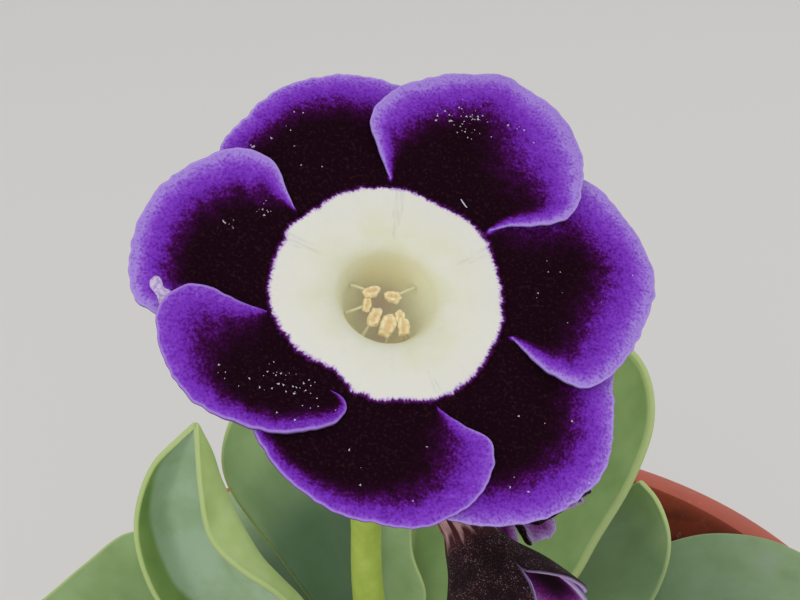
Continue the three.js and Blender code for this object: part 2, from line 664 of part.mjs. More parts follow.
// Stalk: scape, three pedicels, bracts at the umbel and a calyx under each bloom, grown as one piece.
function makeStalk() {
  const scape = rod(
    [v3(-8.9, 2, CROWN_TOP + GAP + 0.05), v3(-9.1, 1.8, 82), v3(-9.8, 0, 91), UMBEL],
    [1.75, 1.5, STALK_RADIUS, STALK_RADIUS + 0.2], 12, 8,
  );
  const blooms = [
    { foot: MAIN_FOOT, facing: PIP_FACING, radius: TUBE_RADIUS, height: 4.6, bend: MAIN_BEND },
    { foot: SIDE_FOOT, facing: SIDE_FACING, radius: 1.6, height: 3, bend: SIDE_BEND },
    { foot: BUD_FOOT, facing: BUD_FACING, radius: 1.4, height: 2.6, bend: BUD_BEND },
  ];
  const stalks = blooms.flatMap(({ foot, facing, radius, height, bend }) => {
    const end = foot.clone().addScaledVector(facing, -1.2);
    const path = [UMBEL, ...bend.map((p) => v3(...p)), end];
    const pedicel = rod(path, [PEDICEL_RADIUS, PEDICEL_RADIUS, 0.9], 8, 6);
    return [solid(pedicel), makeCalyx(radius, height, 6).transform(frameAt(foot, facing).elements)];
  });
  const bracts = [20, 110, 200, 290].map((turn, i) => {
    const grid = Array.from({ length: 5 }, (_, row) => Array.from({ length: 3 }, (_, column) => {
      const along = row / 4;
      const side = (column - 1) * 0.9 * (1 - along ** 1.6);
      const out = polar(1, turn);
      return v3(out.y, -out.x, 0).multiplyScalar(side)
        .addScaledVector(out, 0.9 + 2.2 * along + 0.2 * (1 - side * side))
        .add(v3(UMBEL.x, UMBEL.y, UMBEL.z - 1 + (3.4 + 0.4 * (i % 2)) * along));
    }));
    return solid(blade(grid, () => 0.6));
  });
  return unite([solid(scape), ...stalks, ...bracts]);
}

const group = new THREE.Group();
group.name = "potted_auricula";
group.add(node("pot", makePot(), COLOURS.pot, 0.55));
group.add(node("soil", makeSoil(), COLOURS.soil, 0.95));
group.add(node("crown", crownShape(0), COLOURS.crown, 0.85));
for (const [name, leaf] of Object.entries(LEAVES)) {
  group.add(node(name, makeLeaf(leaf), COLOURS.leaf, 0.6));
}
group.add(node("flower_stalk", makeStalk(), COLOURS.stalk, 0.55));
group.add(node("pip_petals", makePetals(), COLOURS.petal, 0.65));
group.add(node("pip_eye", makeEye(), COLOURS.eye, 0.8));
group.add(node("side_pip", makeSidePip(), COLOURS.bud, 0.7));
group.add(node("opening_bud", makeOpeningBud(), COLOURS.bud, 0.7));

export default group;
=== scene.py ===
"""The looks of the potted auricula: petals, eye, leaves, stalk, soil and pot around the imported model."""

import math

import bpy
import numpy as np
from mathutils import Matrix, Vector, noise


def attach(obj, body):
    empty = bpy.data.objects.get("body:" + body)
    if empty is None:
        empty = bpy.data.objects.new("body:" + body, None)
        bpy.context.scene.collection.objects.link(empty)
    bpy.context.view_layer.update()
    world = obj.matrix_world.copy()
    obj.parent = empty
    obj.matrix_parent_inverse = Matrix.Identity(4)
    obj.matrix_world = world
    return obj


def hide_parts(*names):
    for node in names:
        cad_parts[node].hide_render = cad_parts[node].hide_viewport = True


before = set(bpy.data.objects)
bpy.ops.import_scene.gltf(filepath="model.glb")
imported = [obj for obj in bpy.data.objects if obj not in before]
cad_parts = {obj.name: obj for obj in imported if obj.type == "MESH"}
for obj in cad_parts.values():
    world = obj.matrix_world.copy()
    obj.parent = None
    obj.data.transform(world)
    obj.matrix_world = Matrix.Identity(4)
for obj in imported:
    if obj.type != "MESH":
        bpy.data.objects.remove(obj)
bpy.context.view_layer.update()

# Lengths are in millimetres and are turned to metres where a mesh is made
MM = 0.001

# Pot and soil
RIM_RADIUS = 40.3
POT_HEIGHT = 74
FOOT_RADIUS = 27
SHOULDER_RADIUS = 37
BAND_HEIGHT = 12
LIP_WIDTH = 3.1
WALL = 1.4
FLOOR = 2.2
CHANNEL_DEPTH = 1
DRAIN_COUNT = 8
DRAIN_RADIUS = 2.4
DRAIN_CIRCLE = 17
POT_SEGMENTS = 144
SOIL_TOP = 63
SOIL_RADIUS = 35.1
SOIL_RINGS = 46
CRUMB_COUNT = 1100
# How far from the pot's axis a crumb's middle and its side may lie
CRUMB_REACH = 34.5
CRUMB_LIMIT = 34.7
CROWN_AXIS = (-8.3, 2)
CROWN_RADIUS = 4.2
CROWN_TOP = 72.6
# Points closer than this are joined
DOUBLE_REACH = 0.002

# Open bloom
PIP_CENTRE = Vector((-7.5, -17.3, 122.7))
PIP_FACING = Vector((0.185, -0.606, 0.774)).normalized()
PETAL_ROOT = 8.38
PETAL_THICKNESS = 0.32
PETAL_LAP = 0.42
TUBE_LENGTH = 11.3
# Depth that the colours of the throat reach down to
TUBE_DEPTH = 7
TUBE_RADIUS = 2.2

# Young blooms
SIDE_FOOT = Vector((-4.9, -15.4, 107.6))
SIDE_FACING = Vector((0.5, -0.6, -0.62)).normalized()
BUD_FOOT = Vector((-0.35, -8.3, 107.3))
BUD_FACING = Vector((0.52, -0.555, -0.65)).normalized()
UMBEL = Vector((-9.5, -2, 98))
CALYX_TEETH = 6
YOUNG_THICKNESS = 0.36
# Width of a young lobe's paler rim, and height over which the marks of its tube end
YOUNG_RIM = 2.6
YOUNG_FALL = 2.6

# Camera of the photograph: pitch below the horizon, place and focal length for a 36 mm wide sensor
CAMERA_PLACE = (-6.75, -101.3, 165)
CAMERA_PITCH = 27
CAMERA_LENS = 61.7

SEED = 7
rng = np.random.default_rng(SEED)


def linear(code):
    """An sRGB hex colour as linear RGBA."""
    parts = [int(code[i:i + 2], 16) / 255 for i in (1, 3, 5)]
    return [p / 12.92 if p <= 0.04045 else ((p + 0.055) / 1.055) ** 2.4 for p in parts] + [1]


def feed(tree, node, inputs):
    """Sets a node's inputs; each is a plain value, a hex colour or the socket that feeds it."""
    for key, value in inputs.items():
        if isinstance(value, bpy.types.NodeSocket):
            tree.links.new(value, node.inputs[key])
        else:
            node.inputs[key].default_value = linear(value) if isinstance(value, str) else value


def add(tree, kind, inputs=None, **settings):
    """Adds a shader node with its settings and links; stops are (place, hex code) on a colour band."""
    node = tree.nodes.new(kind)
    for key, value in settings.items():
        if key == "stops":
            band = node.color_ramp.elements
            while len(band) < len(value):
                band.new(0.5)
            for element, (place, code) in zip(band, value):
                element.position = place
                element.color = linear(code)
        else:
            setattr(node, key, value)
    feed(tree, node, inputs or {})
    return node


def new_material(name):
    """An empty node material with its shader, ready for colour and bump."""
    material = bpy.data.materials.new(name)
    material.use_nodes = True
    tree = material.node_tree
    return material, tree, tree.nodes["Principled BSDF"]


def read(tree, name):
    """A mesh attribute by name, as a number."""
    return add(tree, "ShaderNodeAttribute", attribute_name=name).outputs["Fac"]


def grain(tree, size_mm, detail=3, roughness=0.55):
    """Noise whose grains are about the given size in millimetres."""
    place = add(tree, "ShaderNodeTexCoord").outputs["Object"]
    return add(tree, "ShaderNodeTexNoise", {"Vector": place, "Scale": 1 / (size_mm * MM), "Detail": detail,
                                            "Roughness": roughness}).outputs["Fac"]


def streaks(tree, scale, detail):
    """Noise drawn out along the lines that run outwards over a bloom."""
    place = add(tree, "ShaderNodeAttribute", attribute_name="streak").outputs["Vector"]
    return add(tree, "ShaderNodeTexNoise", {"Vector": place, "Scale": scale, "Detail": detail}).outputs["Fac"]


def ramp(tree, value, *stops):
    """A colour read off a band at a value from 0 to 1; stops are (place, hex code)."""
    return add(tree, "ShaderNodeValToRGB", {"Fac": value}, stops=stops).outputs["Color"]


def blend(tree, share, first, second):
    """Two colours mixed by a share from 0 to 1; each is a hex code or a socket."""
    return add(tree, "ShaderNodeMix", {0: share, 6: first, 7: second}, data_type="RGBA").outputs[2]


def worker(operation):
    """A function that joins sockets and plain numbers into one number, from left to right."""
    def work(tree, value, *others):
        for other in others:
            value = add(tree, "ShaderNodeMath", {0: value, 1: other}, operation=operation).outputs[0]
        return value
    return work


plus, minus, times, over = (worker(operation) for operation in ("ADD", "SUBTRACT", "MULTIPLY", "DIVIDE"))


def spread(tree, value, low, high, start=0.0, end=1.0):
    """A value eased from one range into another, held at both ends."""
    ranges = {"Value": value, "From Min": low, "From Max": high, "To Min": start, "To Max": end}
    return add(tree, "ShaderNodeMapRange", ranges, interpolation_type="SMOOTHSTEP").outputs["Result"]


def roughen(tree, shader, height, depth_mm, strength=1.0):
    """Fine relief of a real depth on a shader."""
    bump = add(tree, "ShaderNodeBump", {"Height": height, "Distance": depth_mm * MM, "Strength": strength})
    feed(tree, shader, {"Normal": bump.outputs["Normal"]})


def flesh(weight, reach, depth_mm):
    """Light that spreads inside soft flesh: how much, how far for each colour, and to what depth."""
    return {"Subsurface Weight": weight, "Subsurface Radius": reach, "Subsurface Scale": depth_mm * MM}


def limb_colour(tree, paste, velvet):
    """White meal inside and velvet outside a feathered purple border that eye and petals share."""
    feather = plus(tree, times(tree, streaks(tree, 1.2, 2.0), 0.6),
                   times(tree, streaks(tree, 5.5, 4.0), 0.55))
    place = plus(tree, read(tree, "fringe"), minus(tree, feather, 0.575))
    purple = blend(tree, spread(tree, place, 0.0, 0.28), "#5c1b6a", velvet)
    haloed = blend(tree, spread(tree, place, -0.06, 0.06), "#b79fd0", purple)
    return blend(tree, spread(tree, place, -0.24, -0.02), paste, haloed)


def velvet_core(tree):
    """The near-black maroon of the petals' middle, with faint brown glints of single cells."""
    glints = spread(tree, grain(tree, 0.22, 2), 0.5, 0.8)
    return blend(tree, times(tree, glints, 0.5), "#190812", "#38231f")


def petal_velvet():
    """Living petal: velvet cells that are near black by the eye, violet outside, lilac on the very edge with
    a painted highlight line.
    """
    material, tree, shader = new_material("living petal velvet")
    cells = grain(tree, 0.2, 4)
    mottle = plus(tree, times(tree, cells, 0.95), times(tree, grain(tree, 0.8, 3), 0.7))
    edge = read(tree, "rim")
    shift = times(tree, minus(tree, mottle, 0.825), spread(tree, edge, 0.0, 1.0, 0.4, 1.0))
    place = over(tree, plus(tree, edge, shift), 2.5)
    skin = ramp(tree, place, (0.0, "#9f80d2"), (0.04, "#9468cd"), (0.1, "#854dc2"), (0.17, "#7a39b8"),
                (0.26, "#702fac"), (0.34, "#602090"), (0.4, "#4e1468"), (0.45, "#3d0d47"), (0.51, "#2f0b31"),
                (0.59, "#250a21"), (0.72, "#1c0914"))
    flecks = times(tree, spread(tree, cells, 0.48, 0.66, 0.0, 0.35), spread(tree, place, 0.42, 0.3))
    flecked = blend(tree, flecks, skin, "#45107a")
    coloured = blend(tree, spread(tree, place, 0.52, 0.78), flecked, velvet_core(tree))
    # Painted highlight: a thin pale line along the petal's outer edge, fading towards the notches.
    line = times(tree, spread(tree, read(tree, "margin"), 0.22, 0.06), read(tree, "lining"))
    lined = blend(tree, line, coloured, "#b39adc")
    backed = blend(tree, times(tree, read(tree, "under"), 0.85), lined, "#2c1a26")
    feed(tree, shader, {"Base Color": limb_colour(tree, "#dcdad0", backed), "Roughness": 0.7,
                        "Specular IOR Level": 0.0})
    roughen(tree, shader, cells, 0.05, 0.5)
    return material


def young_petal():
    """Half-open petal: maroon-black mealy back, violet inside, lilac edge, pale streaks down at the tube."""
    material, tree, shader = new_material("young petal velvet")
    cells = grain(tree, 0.18, 4)
    clouds = grain(tree, 1.4, 3)
    edge = plus(tree, read(tree, "rim"), times(tree, minus(tree, cells, 0.5), 0.5))
    inner = ramp(tree, edge, (0.0, "#b9a2cf"), (0.12, "#a888c4"), (0.28, "#93539f"), (0.45, "#6f2472"),
                 (0.65, "#451245"), (0.85, "#270e22"), (1.0, "#1c0b14"))
    outer = ramp(tree, clouds, (0.3, "#1d1015"), (0.55, "#28161b"), (0.75, "#341c20"))
    low = read(tree, "down")
    ruddy = blend(tree, spread(tree, low, 0.2, 0.75, 0.0, 0.8), outer, "#4b252a")
    flow = spread(tree, plus(tree, streaks(tree, 2.0, 3.0), times(tree, low, 0.45)), 0.78, 0.98)
    streaked = blend(tree, times(tree, flow, 0.8), ruddy, "#c79c9b")
    fine = spread(tree, grain(tree, 0.09, 1, roughness=0.3), 0.64, 0.7)
    gathered = spread(tree, clouds, 0.42, 0.6, 0.25, 1.0)
    specks = times(tree, fine, gathered, spread(tree, low, 0.8, 0.4), 0.55)
    mealed = blend(tree, specks, streaked, "#a89a9d")
    line = times(tree, spread(tree, read(tree, "margin"), 0.3, 0.08), read(tree, "lining"))
    edged = blend(tree, line, mealed, "#8d7cab")
    feed(tree, shader, {"Base Color": blend(tree, read(tree, "under"), edged, inner), "Roughness": 0.6,
                        "Specular IOR Level": 0.05})
    roughen(tree, shader, cells, 0.06, 0.7)
    return material


def eye_meal():
    """White meal of the eye: a matt paste, cream by the throat, with fine furrows that run outwards."""
    material, tree, shader = new_material("cream meal of the eye")
    fringe, crease = read(tree, "fringe"), read(tree, "wrinkle")
    paste = ramp(tree, over(tree, read(tree, "down"), TUBE_DEPTH), (0.0, "#dad9cf"), (0.04, "#dad8c7"),
                 (0.12, "#d8d1ae"), (0.25, "#d9ce9f"), (0.42, "#dccd9d"), (0.58, "#d3bfa6"),
                 (0.72, "#cdb6a8"), (1.0, "#c2aa9e"))
    patchy = spread(tree, grain(tree, 2.2, 2), 0.3, 0.7, 0.35, 1.0)
    creamy = times(tree, spread(tree, fringe, -0.6, -3.6), patchy, 0.6)
    warmed = blend(tree, creamy, paste, "#cfd0ad")
    # Painted light: the throat's left and right walls are made paler.
    lit = blend(tree, times(tree, read(tree, "sides"), 0.9), warmed, "#e4e5c6")
    furrows = streaks(tree, 1.4, 5.0)
    shaded = blend(tree, spread(tree, furrows, 0.55, 0.8, 0.0, 0.15), lit, "#c4c4bd")
    # Painted shade: thin grey lines along the fine wrinkles by the notches.
    creased = blend(tree, times(tree, spread(tree, crease, 0.1, 0.02), 0.16), shaded, "#a9a7a6")
    meal = spread(tree, fringe, 0.1, -0.1)
    feed(tree, shader, {"Base Color": limb_colour(tree, creased, velvet_core(tree)), "Roughness": 0.9,
                        "Specular IOR Level": times(tree, meal, 0.2),
                        **flesh(times(tree, meal, 0.15), (0.8, 0.7, 0.4), 0.6)})
    wrinkle = times(tree, spread(tree, crease, 0.14, 0.02), 1.5)
    roughen(tree, shader, minus(tree, furrows, wrinkle), 0.05, 0.5)
    return material


def leaf_skin():
    """Fleshy leaf: green skin under a blue-grey meal that thins towards the pale margin."""
    material, tree, shader = new_material("mealed leaf skin")
    margin, back = read(tree, "margin"), read(tree, "under")
    patches = grain(tree, 4, 2)
    specks = grain(tree, 0.4, 3)
    green = ramp(tree, patches, (0.3, "#7b9a50"), (0.5, "#86a45a"), (0.7, "#90ab63"))
    bare = spread(tree, minus(tree, margin, read(tree, "strip")), 0.4, -0.6)
    meal = times(tree, minus(tree, 1.0, bare), spread(tree, patches, 0.3, 0.62, 0.7, 1.0),
                 read(tree, "tone"), spread(tree, specks, 0.3, 0.7, 0.9, 1.0))
    upper = blend(tree, meal, green, "#b0c6aa")
    gathered = times(tree, spread(tree, patches, 0.6, 0.68), read(tree, "blotch"))
    blotched = blend(tree, gathered, upper, "#a5b79c")
    rib = times(tree, spread(tree, read(tree, "rib"), 0.7, 0.1), 0.25)
    ribbed = blend(tree, rib, blotched, "#9db27a")
    under = blend(tree, spread(tree, patches, 0.3, 0.7), "#acc279", "#b9ce8d")
    near = over(tree, margin, read(tree, "brim"))
    lined = blend(tree, times(tree, spread(tree, near, 1.0, 0.5), 0.8), blend(tree, back, ribbed, under),
                  "#b4c482")
    shade = times(tree, read(tree, "shade"), minus(tree, 1.0, back))
    feed(tree, shader, {"Base Color": blend(tree, shade, lined, "#3c5a41"), "Roughness": 0.6,
                        "Specular IOR Level": 0.3, **flesh(0.08, (0.6, 0.9, 0.3), 0.8)})
    roughen(tree, shader, plus(tree, specks, grain(tree, 1.6, 2)), 0.04, 0.5)
    return material


def stalk_skin():
    """Fleshy stalk: smooth yellow-green skin with a little meal."""
    material, tree, shader = new_material("mealed stalk skin")
    fine = grain(tree, 0.25, 3)
    skin = ramp(tree, grain(tree, 2.2, 3), (0.3, "#a8bb4f"), (0.55, "#b6c85b"), (0.8, "#c2d06d"))
    mealed = blend(tree, spread(tree, fine, 0.55, 0.75, 0.0, 0.25), skin, "#cdd4a2")
    feed(tree, shader, {"Base Color": mealed, "Roughness": 0.5, **flesh(0.1, (0.7, 0.9, 0.3), 0.8)})
    roughen(tree, shader, fine, 0.05, 0.5)
    return material


def pot_plastic():
    """Injection-moulded polypropylene, terracotta colour: satin, faint scuffs and dust, lime specks and
    painted shade inside.
    """
    material, tree, shader = new_material("moulded terracotta polypropylene")
    specks = grain(tree, 0.6, 2)
    damp = read(tree, "damp")
    clay = ramp(tree, grain(tree, 9, 4), (0.3, "#ab4c37"), (0.6, "#b5523a"), (0.8, "#bb5840"))
    dusted = blend(tree, spread(tree, specks, 0.62, 0.75, 0.0, 0.25), clay, "#c08a78")
    grime = blend(tree, spread(tree, grain(tree, 1.3, 3), 0.6, 0.7, 0.0, 0.35), dusted, "#6f5a50")
    # Painted shade on the inner wall: uneven in patches, it deepens over the first few millimetres below the
    # rim.
    painted_inner_shade = times(tree, damp, spread(tree, grain(tree, 3.5, 4), 0.42, 0.56, 0.25, 0.85))
    lime = times(tree, damp, spread(tree, grain(tree, 0.8, 2), 0.66, 0.72, 0.0, 0.7))
    skin = blend(tree, lime, blend(tree, painted_inner_shade, grime, "#35271e"), "#9a8c80")
    feed(tree, shader, {"Base Color": skin, "Roughness": 0.42, "IOR": 1.49})
    roughen(tree, shader, specks, 0.03, 0.4)
    return material


def compost_grit():
    """Dark peat compost: rough crumbs with a few paler bits."""
    material, tree, shader = new_material("peat compost")
    crumbs = grain(tree, 0.9, 5)
    dark = ramp(tree, crumbs, (0.3, "#261b15"), (0.5, "#49372a"), (0.7, "#6f5742"))
    mixed = blend(tree, spread(tree, grain(tree, 1.3, 2), 0.62, 0.68, 0.0, 0.6), dark, "#8a765c")
    feed(tree, shader, {"Base Color": mixed, "Roughness": 0.95})
    roughen(tree, shader, crumbs, 0.5, 0.9)
    return material


def rootstock_cork():
    """Corky rootstock with the scars of old leaves."""
    material, tree, shader = new_material("corky rootstock")
    rings = grain(tree, 1.4, 4)
    cork = ramp(tree, rings, (0.3, "#5a4a30"), (0.6, "#83724a"), (0.8, "#97895c"))
    feed(tree, shader, {"Base Color": cork, "Roughness": 0.85})
    roughen(tree, shader, rings, 0.3, 0.8)
    return material


def pollen():
    """Anther skin dusted with pollen: pale straw to tan, with painted shade in the furrow."""
    material, tree, shader = new_material("pollen on anthers")
    dust = grain(tree, 0.25, 2)
    straw = ramp(tree, dust, (0.3, "#dcc48c"), (0.5, "#e6d6a6"), (0.75, "#efe6c6"))
    # Painted shade in the furrow between the anther's two lobes.
    furrow_shaded = blend(tree, times(tree, read(tree, "furrow"), 0.6), straw, "#c69c58")
    feed(tree, shader, {"Base Color": furrow_shaded, "Roughness": 0.8})
    roughen(tree, shader, dust, 0.04, 0.8)
    return material


def plain_material(name, colour, roughness, **soft):
    """A material of one even colour; soft gives what flesh takes."""
    material, tree, shader = new_material(name)
    feed(tree, shader, {"Base Color": colour, "Roughness": roughness, **(flesh(**soft) if soft else {})})
    return material


def filament_skin():
    """Threads that carry the anthers: pale green flesh that lets light in."""
    return plain_material("filament flesh", "#d4cfae", 0.5, weight=0.4, reach=(0.5, 0.6, 0.3), depth_mm=0.5)


def farina():
    """Loose flakes of meal: dull white."""
    return plain_material("flakes of meal", "#cdc6d2", 0.8)


def torn_skin():
    """Torn petal skin: the pale flesh under the velvet, lilac white."""
    material, tree, shader = new_material("torn petal flesh")
    threads = grain(tree, 0.25, 3)
    flesh_colour = blend(tree, spread(tree, threads, 0.35, 0.65), "#a48cc0", "#cdbfdb")
    feed(tree, shader, {"Base Color": flesh_colour, "Roughness": 0.7})
    roughen(tree, shader, threads, 0.05, 0.6)
    return material


def paper_floor():
    """Pale studio paper, matt."""
    return plain_material("studio paper", "#d9d8d4", 0.9)


def finish_piece(piece, material, node_names=()):
    """Gives a piece its material, smooth faces, its body and the nodes that it stands for."""
    piece.data.materials.clear()
    piece.data.materials.append(material)
    piece.data.shade_smooth()
    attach(piece, "root")
    if node_names:
        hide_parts(*node_names)


def clear_choice():
    """Nothing stays selected, so that an operator acts on the new piece alone."""
    bpy.ops.object.select_all(action="DESELECT")


def pick(piece):
    """Only this piece is chosen and active."""
    clear_choice()
    piece.select_set(True)
    bpy.context.view_layer.objects.active = piece


def added(name, operator, **settings):
    """A new piece from one of Blender's add operators, with nothing else chosen."""
    clear_choice()
    operator(**settings)
    bpy.context.object.name = name
    return bpy.context.object


def joined(name, pieces):
    """Several pieces made one, under a new name."""
    clear_choice()
    for piece in pieces:
        piece.select_set(True)
    bpy.context.view_layer.objects.active = pieces[0]
    bpy.ops.object.join()
    whole = bpy.context.view_layer.objects.active
    whole.name = name
    return whole


def polar(radius, degrees):
    """Points at a radius and a turn about the axis."""
    angle = np.radians(degrees)
    return np.stack([radius * np.cos(angle), radius * np.sin(angle)], axis=-1)


def noise_at(*columns):
    """Smooth noise at many places; each of the three columns may be one number."""
    return np.array([noise.noise(Vector(place)) for place in np.broadcast(*columns)])


def smooth_curve(points, stations, by_length=True):
    """Points on the smooth curve through the given ones, at stations from 0 to 1."""
    given = np.asarray(points, float)
    chain = np.vstack([2 * given[0] - given[1], given, 2 * given[-1] - given[-2]])
    steps = 16
    t = np.linspace(0, 1, steps, endpoint=False)[:, None]
    dense = []
    for k in range(1, len(chain) - 2):
        before, start, end, after = chain[k - 1:k + 3]
        pairs = ((before, start), (start, end), (end, after))
        gaps = [max(np.linalg.norm(b - a) ** 0.5, 1e-4) for a, b in pairs]
        near = (start - before) / gaps[0] - (end - before) / (gaps[0] + gaps[1]) + (end - start) / gaps[1]
        far = (end - start) / gaps[1] - (after - start) / (gaps[1] + gaps[2]) + (after - end) / gaps[2]
        near, far = near * gaps[1], far * gaps[1]
        dense.append((2 * t**3 - 3 * t**2 + 1) * start + (t**3 - 2 * t**2 + t) * near
                     + (3 * t**2 - 2 * t**3) * end + (t**3 - t**2) * far)
    dense = np.vstack(dense + [given[-1:]])
    if by_length:
        run = np.concatenate([[0], np.cumsum(np.linalg.norm(np.diff(dense, axis=0), axis=1))])
        run /= run[-1]
    else:
        run = np.linspace(0, 1, len(dense))
    return np.stack([np.interp(stations, run, dense[:, axis]) for axis in range(dense.shape[1])], axis=-1)


def frame_at(point, facing):
    """A frame that stands at a point with its local Z along a facing direction."""
    across = (Vector((1, 0, 0)) - facing * facing.x).normalized()
    up = facing.cross(across)
    matrix = Matrix((across, up, facing)).transposed().to_4x4()
    matrix.translation = point
    return matrix


PIP_FRAME = frame_at(PIP_CENTRE, PIP_FACING)


def placed(points, matrix):
    """Points in a local frame brought to their place on the plant, in millimetres."""
    turn = np.array(matrix.to_3x3())
    return points @ turn.T + np.array(matrix.translation)


def mesh_piece(name, points, faces):
    """A loose mesh from points in millimetres."""
    mesh = bpy.data.meshes.new(name)
    mesh.from_pydata((np.asarray(points) * MM).tolist(), [], faces)
    piece = bpy.data.objects.new(name, mesh)
    bpy.context.collection.objects.link(piece)
    return piece


def vectors_of(piece, field):
    """A vector of each of a piece's points: its place in metres (co) or its normal."""
    flat = np.empty(len(piece.data.vertices) * 3)
    piece.data.vertices.foreach_get(field, flat)
    return flat.reshape(-1, 3)


def points_of(piece):
    """A piece's points in millimetres."""
    return vectors_of(piece, "co") / MM


def move_points(piece, points):
    """Moves a piece's points to new places in millimetres."""
    piece.data.vertices.foreach_set("co", (np.asarray(points) * MM).ravel())
    piece.data.update()


def mark(piece, name, values):
    """Keeps a number or a vector for each point of a piece, for its material; one number is for all."""
    values = np.asarray(values, float)
    if values.ndim == 0:
        values = np.full(len(piece.data.vertices), values)
    kind, field = ("FLOAT_VECTOR", "vector") if values.ndim == 2 else ("FLOAT", "value")
    attribute = piece.data.attributes.new(name, kind, "POINT")
    attribute.data.foreach_set(field, values.ravel())


def apply_modifier(piece, name, kind, **settings):
    """Adds a modifier with its settings and applies it."""
    pick(piece)
    modifier = piece.modifiers.new(name, kind)
    for key, value in settings.items():
        setattr(modifier, key, value)
    bpy.ops.object.modifier_apply(modifier=modifier.name)


def thicken(piece, thickness, thin_share=1.0, girth=None, rounds=1):
    """Gives a sheet its thickness and a round edge, and marks its two sides.

    girth runs from 0 where the sheet is thinnest to 1 where it has its full thickness."""
    count = len(piece.data.vertices)
    if girth is not None:
        group = piece.vertex_groups.new(name="girth")
        for index, weight in enumerate(np.ravel(girth)):
            group.add([index], float(weight), "REPLACE")
    apply_modifier(piece, "thickness", "SOLIDIFY", thickness=thickness * MM, offset=0,
                   vertex_group="girth" if girth is not None else "", thickness_vertex_group=thin_share)
    mark(piece, "under", np.arange(len(piece.data.vertices)) >= count)
    if rounds:
        apply_modifier(piece, "round edge", "SUBSURF", levels=rounds, render_levels=rounds)


def flat_grid(name, rows, columns):
    """A flat square grid; returns it with each point's share along and across, from 0 to 1."""
    piece = added(name, bpy.ops.mesh.primitive_grid_add, x_subdivisions=columns - 1,
                  y_subdivisions=rows - 1, size=1)
    flat = vectors_of(piece, "co")
    return piece, np.clip(flat[:, 1] + 0.5, 0, 1), np.clip(flat[:, 0] + 0.5, 0, 1)


def merge_doubles(piece):
    """Joins the points that meet in a leaf's tip."""
    pick(piece)
    bpy.ops.object.mode_set(mode="EDIT")
    bpy.ops.mesh.select_all(action="SELECT")
    bpy.ops.mesh.remove_doubles(threshold=DOUBLE_REACH * MM)
    bpy.ops.object.mode_set(mode="OBJECT")


def look_up(table, along, across):
    """Values of a table of rows and columns at shares from 0 to 1, between its entries."""
    rows, columns = table.shape[:2]
    i = np.clip(along * (rows - 1), 0, rows - 1.000001)
    j = np.clip(across * (columns - 1), 0, columns - 1.000001)
    i0, j0 = i.astype(int), j.astype(int)
    a, b = (i - i0)[:, None], (j - j0)[:, None]
    flat = table.reshape(rows, columns, -1)
    low = flat[i0, j0] * (1 - b) + flat[i0, j0 + 1] * b
    high = flat[i0 + 1, j0] * (1 - b) + flat[i0 + 1, j0 + 1] * b
    return low * (1 - a) + high * a


def turned_piece(name, rings, segments):
    """A round piece drawn up ring by ring from a filled circle, as on a lathe; rings are (radius, height)."""
    radius, height = rings[0]
    piece = added(name, bpy.ops.mesh.primitive_circle_add, vertices=segments, radius=radius * MM,
                  fill_type="TRIFAN", location=(0, 0, height * MM))
    bpy.ops.object.transform_apply(location=True, rotation=True, scale=True)
    bpy.ops.object.mode_set(mode="EDIT")
    bpy.ops.mesh.select_all(action="SELECT")
    bpy.ops.mesh.region_to_loop()
    for (old, low), (new, high) in zip(rings, rings[1:]):
        bpy.ops.mesh.extrude_edges_move(TRANSFORM_OT_translate={"value": (0, 0, (high - low) * MM)})
        ratio = new / old
        bpy.ops.transform.resize(value=(ratio, ratio, 1), center_override=(0, 0, high * MM))
    bpy.ops.mesh.edge_face_add()
    bpy.ops.mesh.poke()
    bpy.ops.mesh.select_all(action="SELECT")
    bpy.ops.mesh.normals_make_consistent(inside=False)
    bpy.ops.object.mode_set(mode="OBJECT")
    return piece


def stem(name, path, radii, stations=48):
    """A round stem along a smooth path with a radius that runs evenly through a list of radii."""
    share = np.linspace(0, 1, stations)
    route = smooth_curve([tuple(p) for p in path], share)
    girth = np.interp(share, np.linspace(0, 1, len(radii)), radii)
    curve = added(name, bpy.ops.curve.primitive_bezier_curve_add).data
    curve.splines.clear()
    line = curve.splines.new("POLY")
    line.points.add(stations - 1)
    for point, place, radius in zip(line.points, route, girth):
        point.co = (*(place * MM), 1)
        point.radius = radius
    curve.dimensions = "3D"
    curve.bevel_depth = MM
    curve.bevel_resolution = 6
    curve.use_fill_caps = True
    bpy.ops.object.convert(target="MESH")
    bpy.ops.object.transform_apply(location=True, rotation=True, scale=True)
    return bpy.context.object


# Height below the rim over which the inner wall's painted shade and lime specks grow to their full share
INSIDE_FALL = 3.5


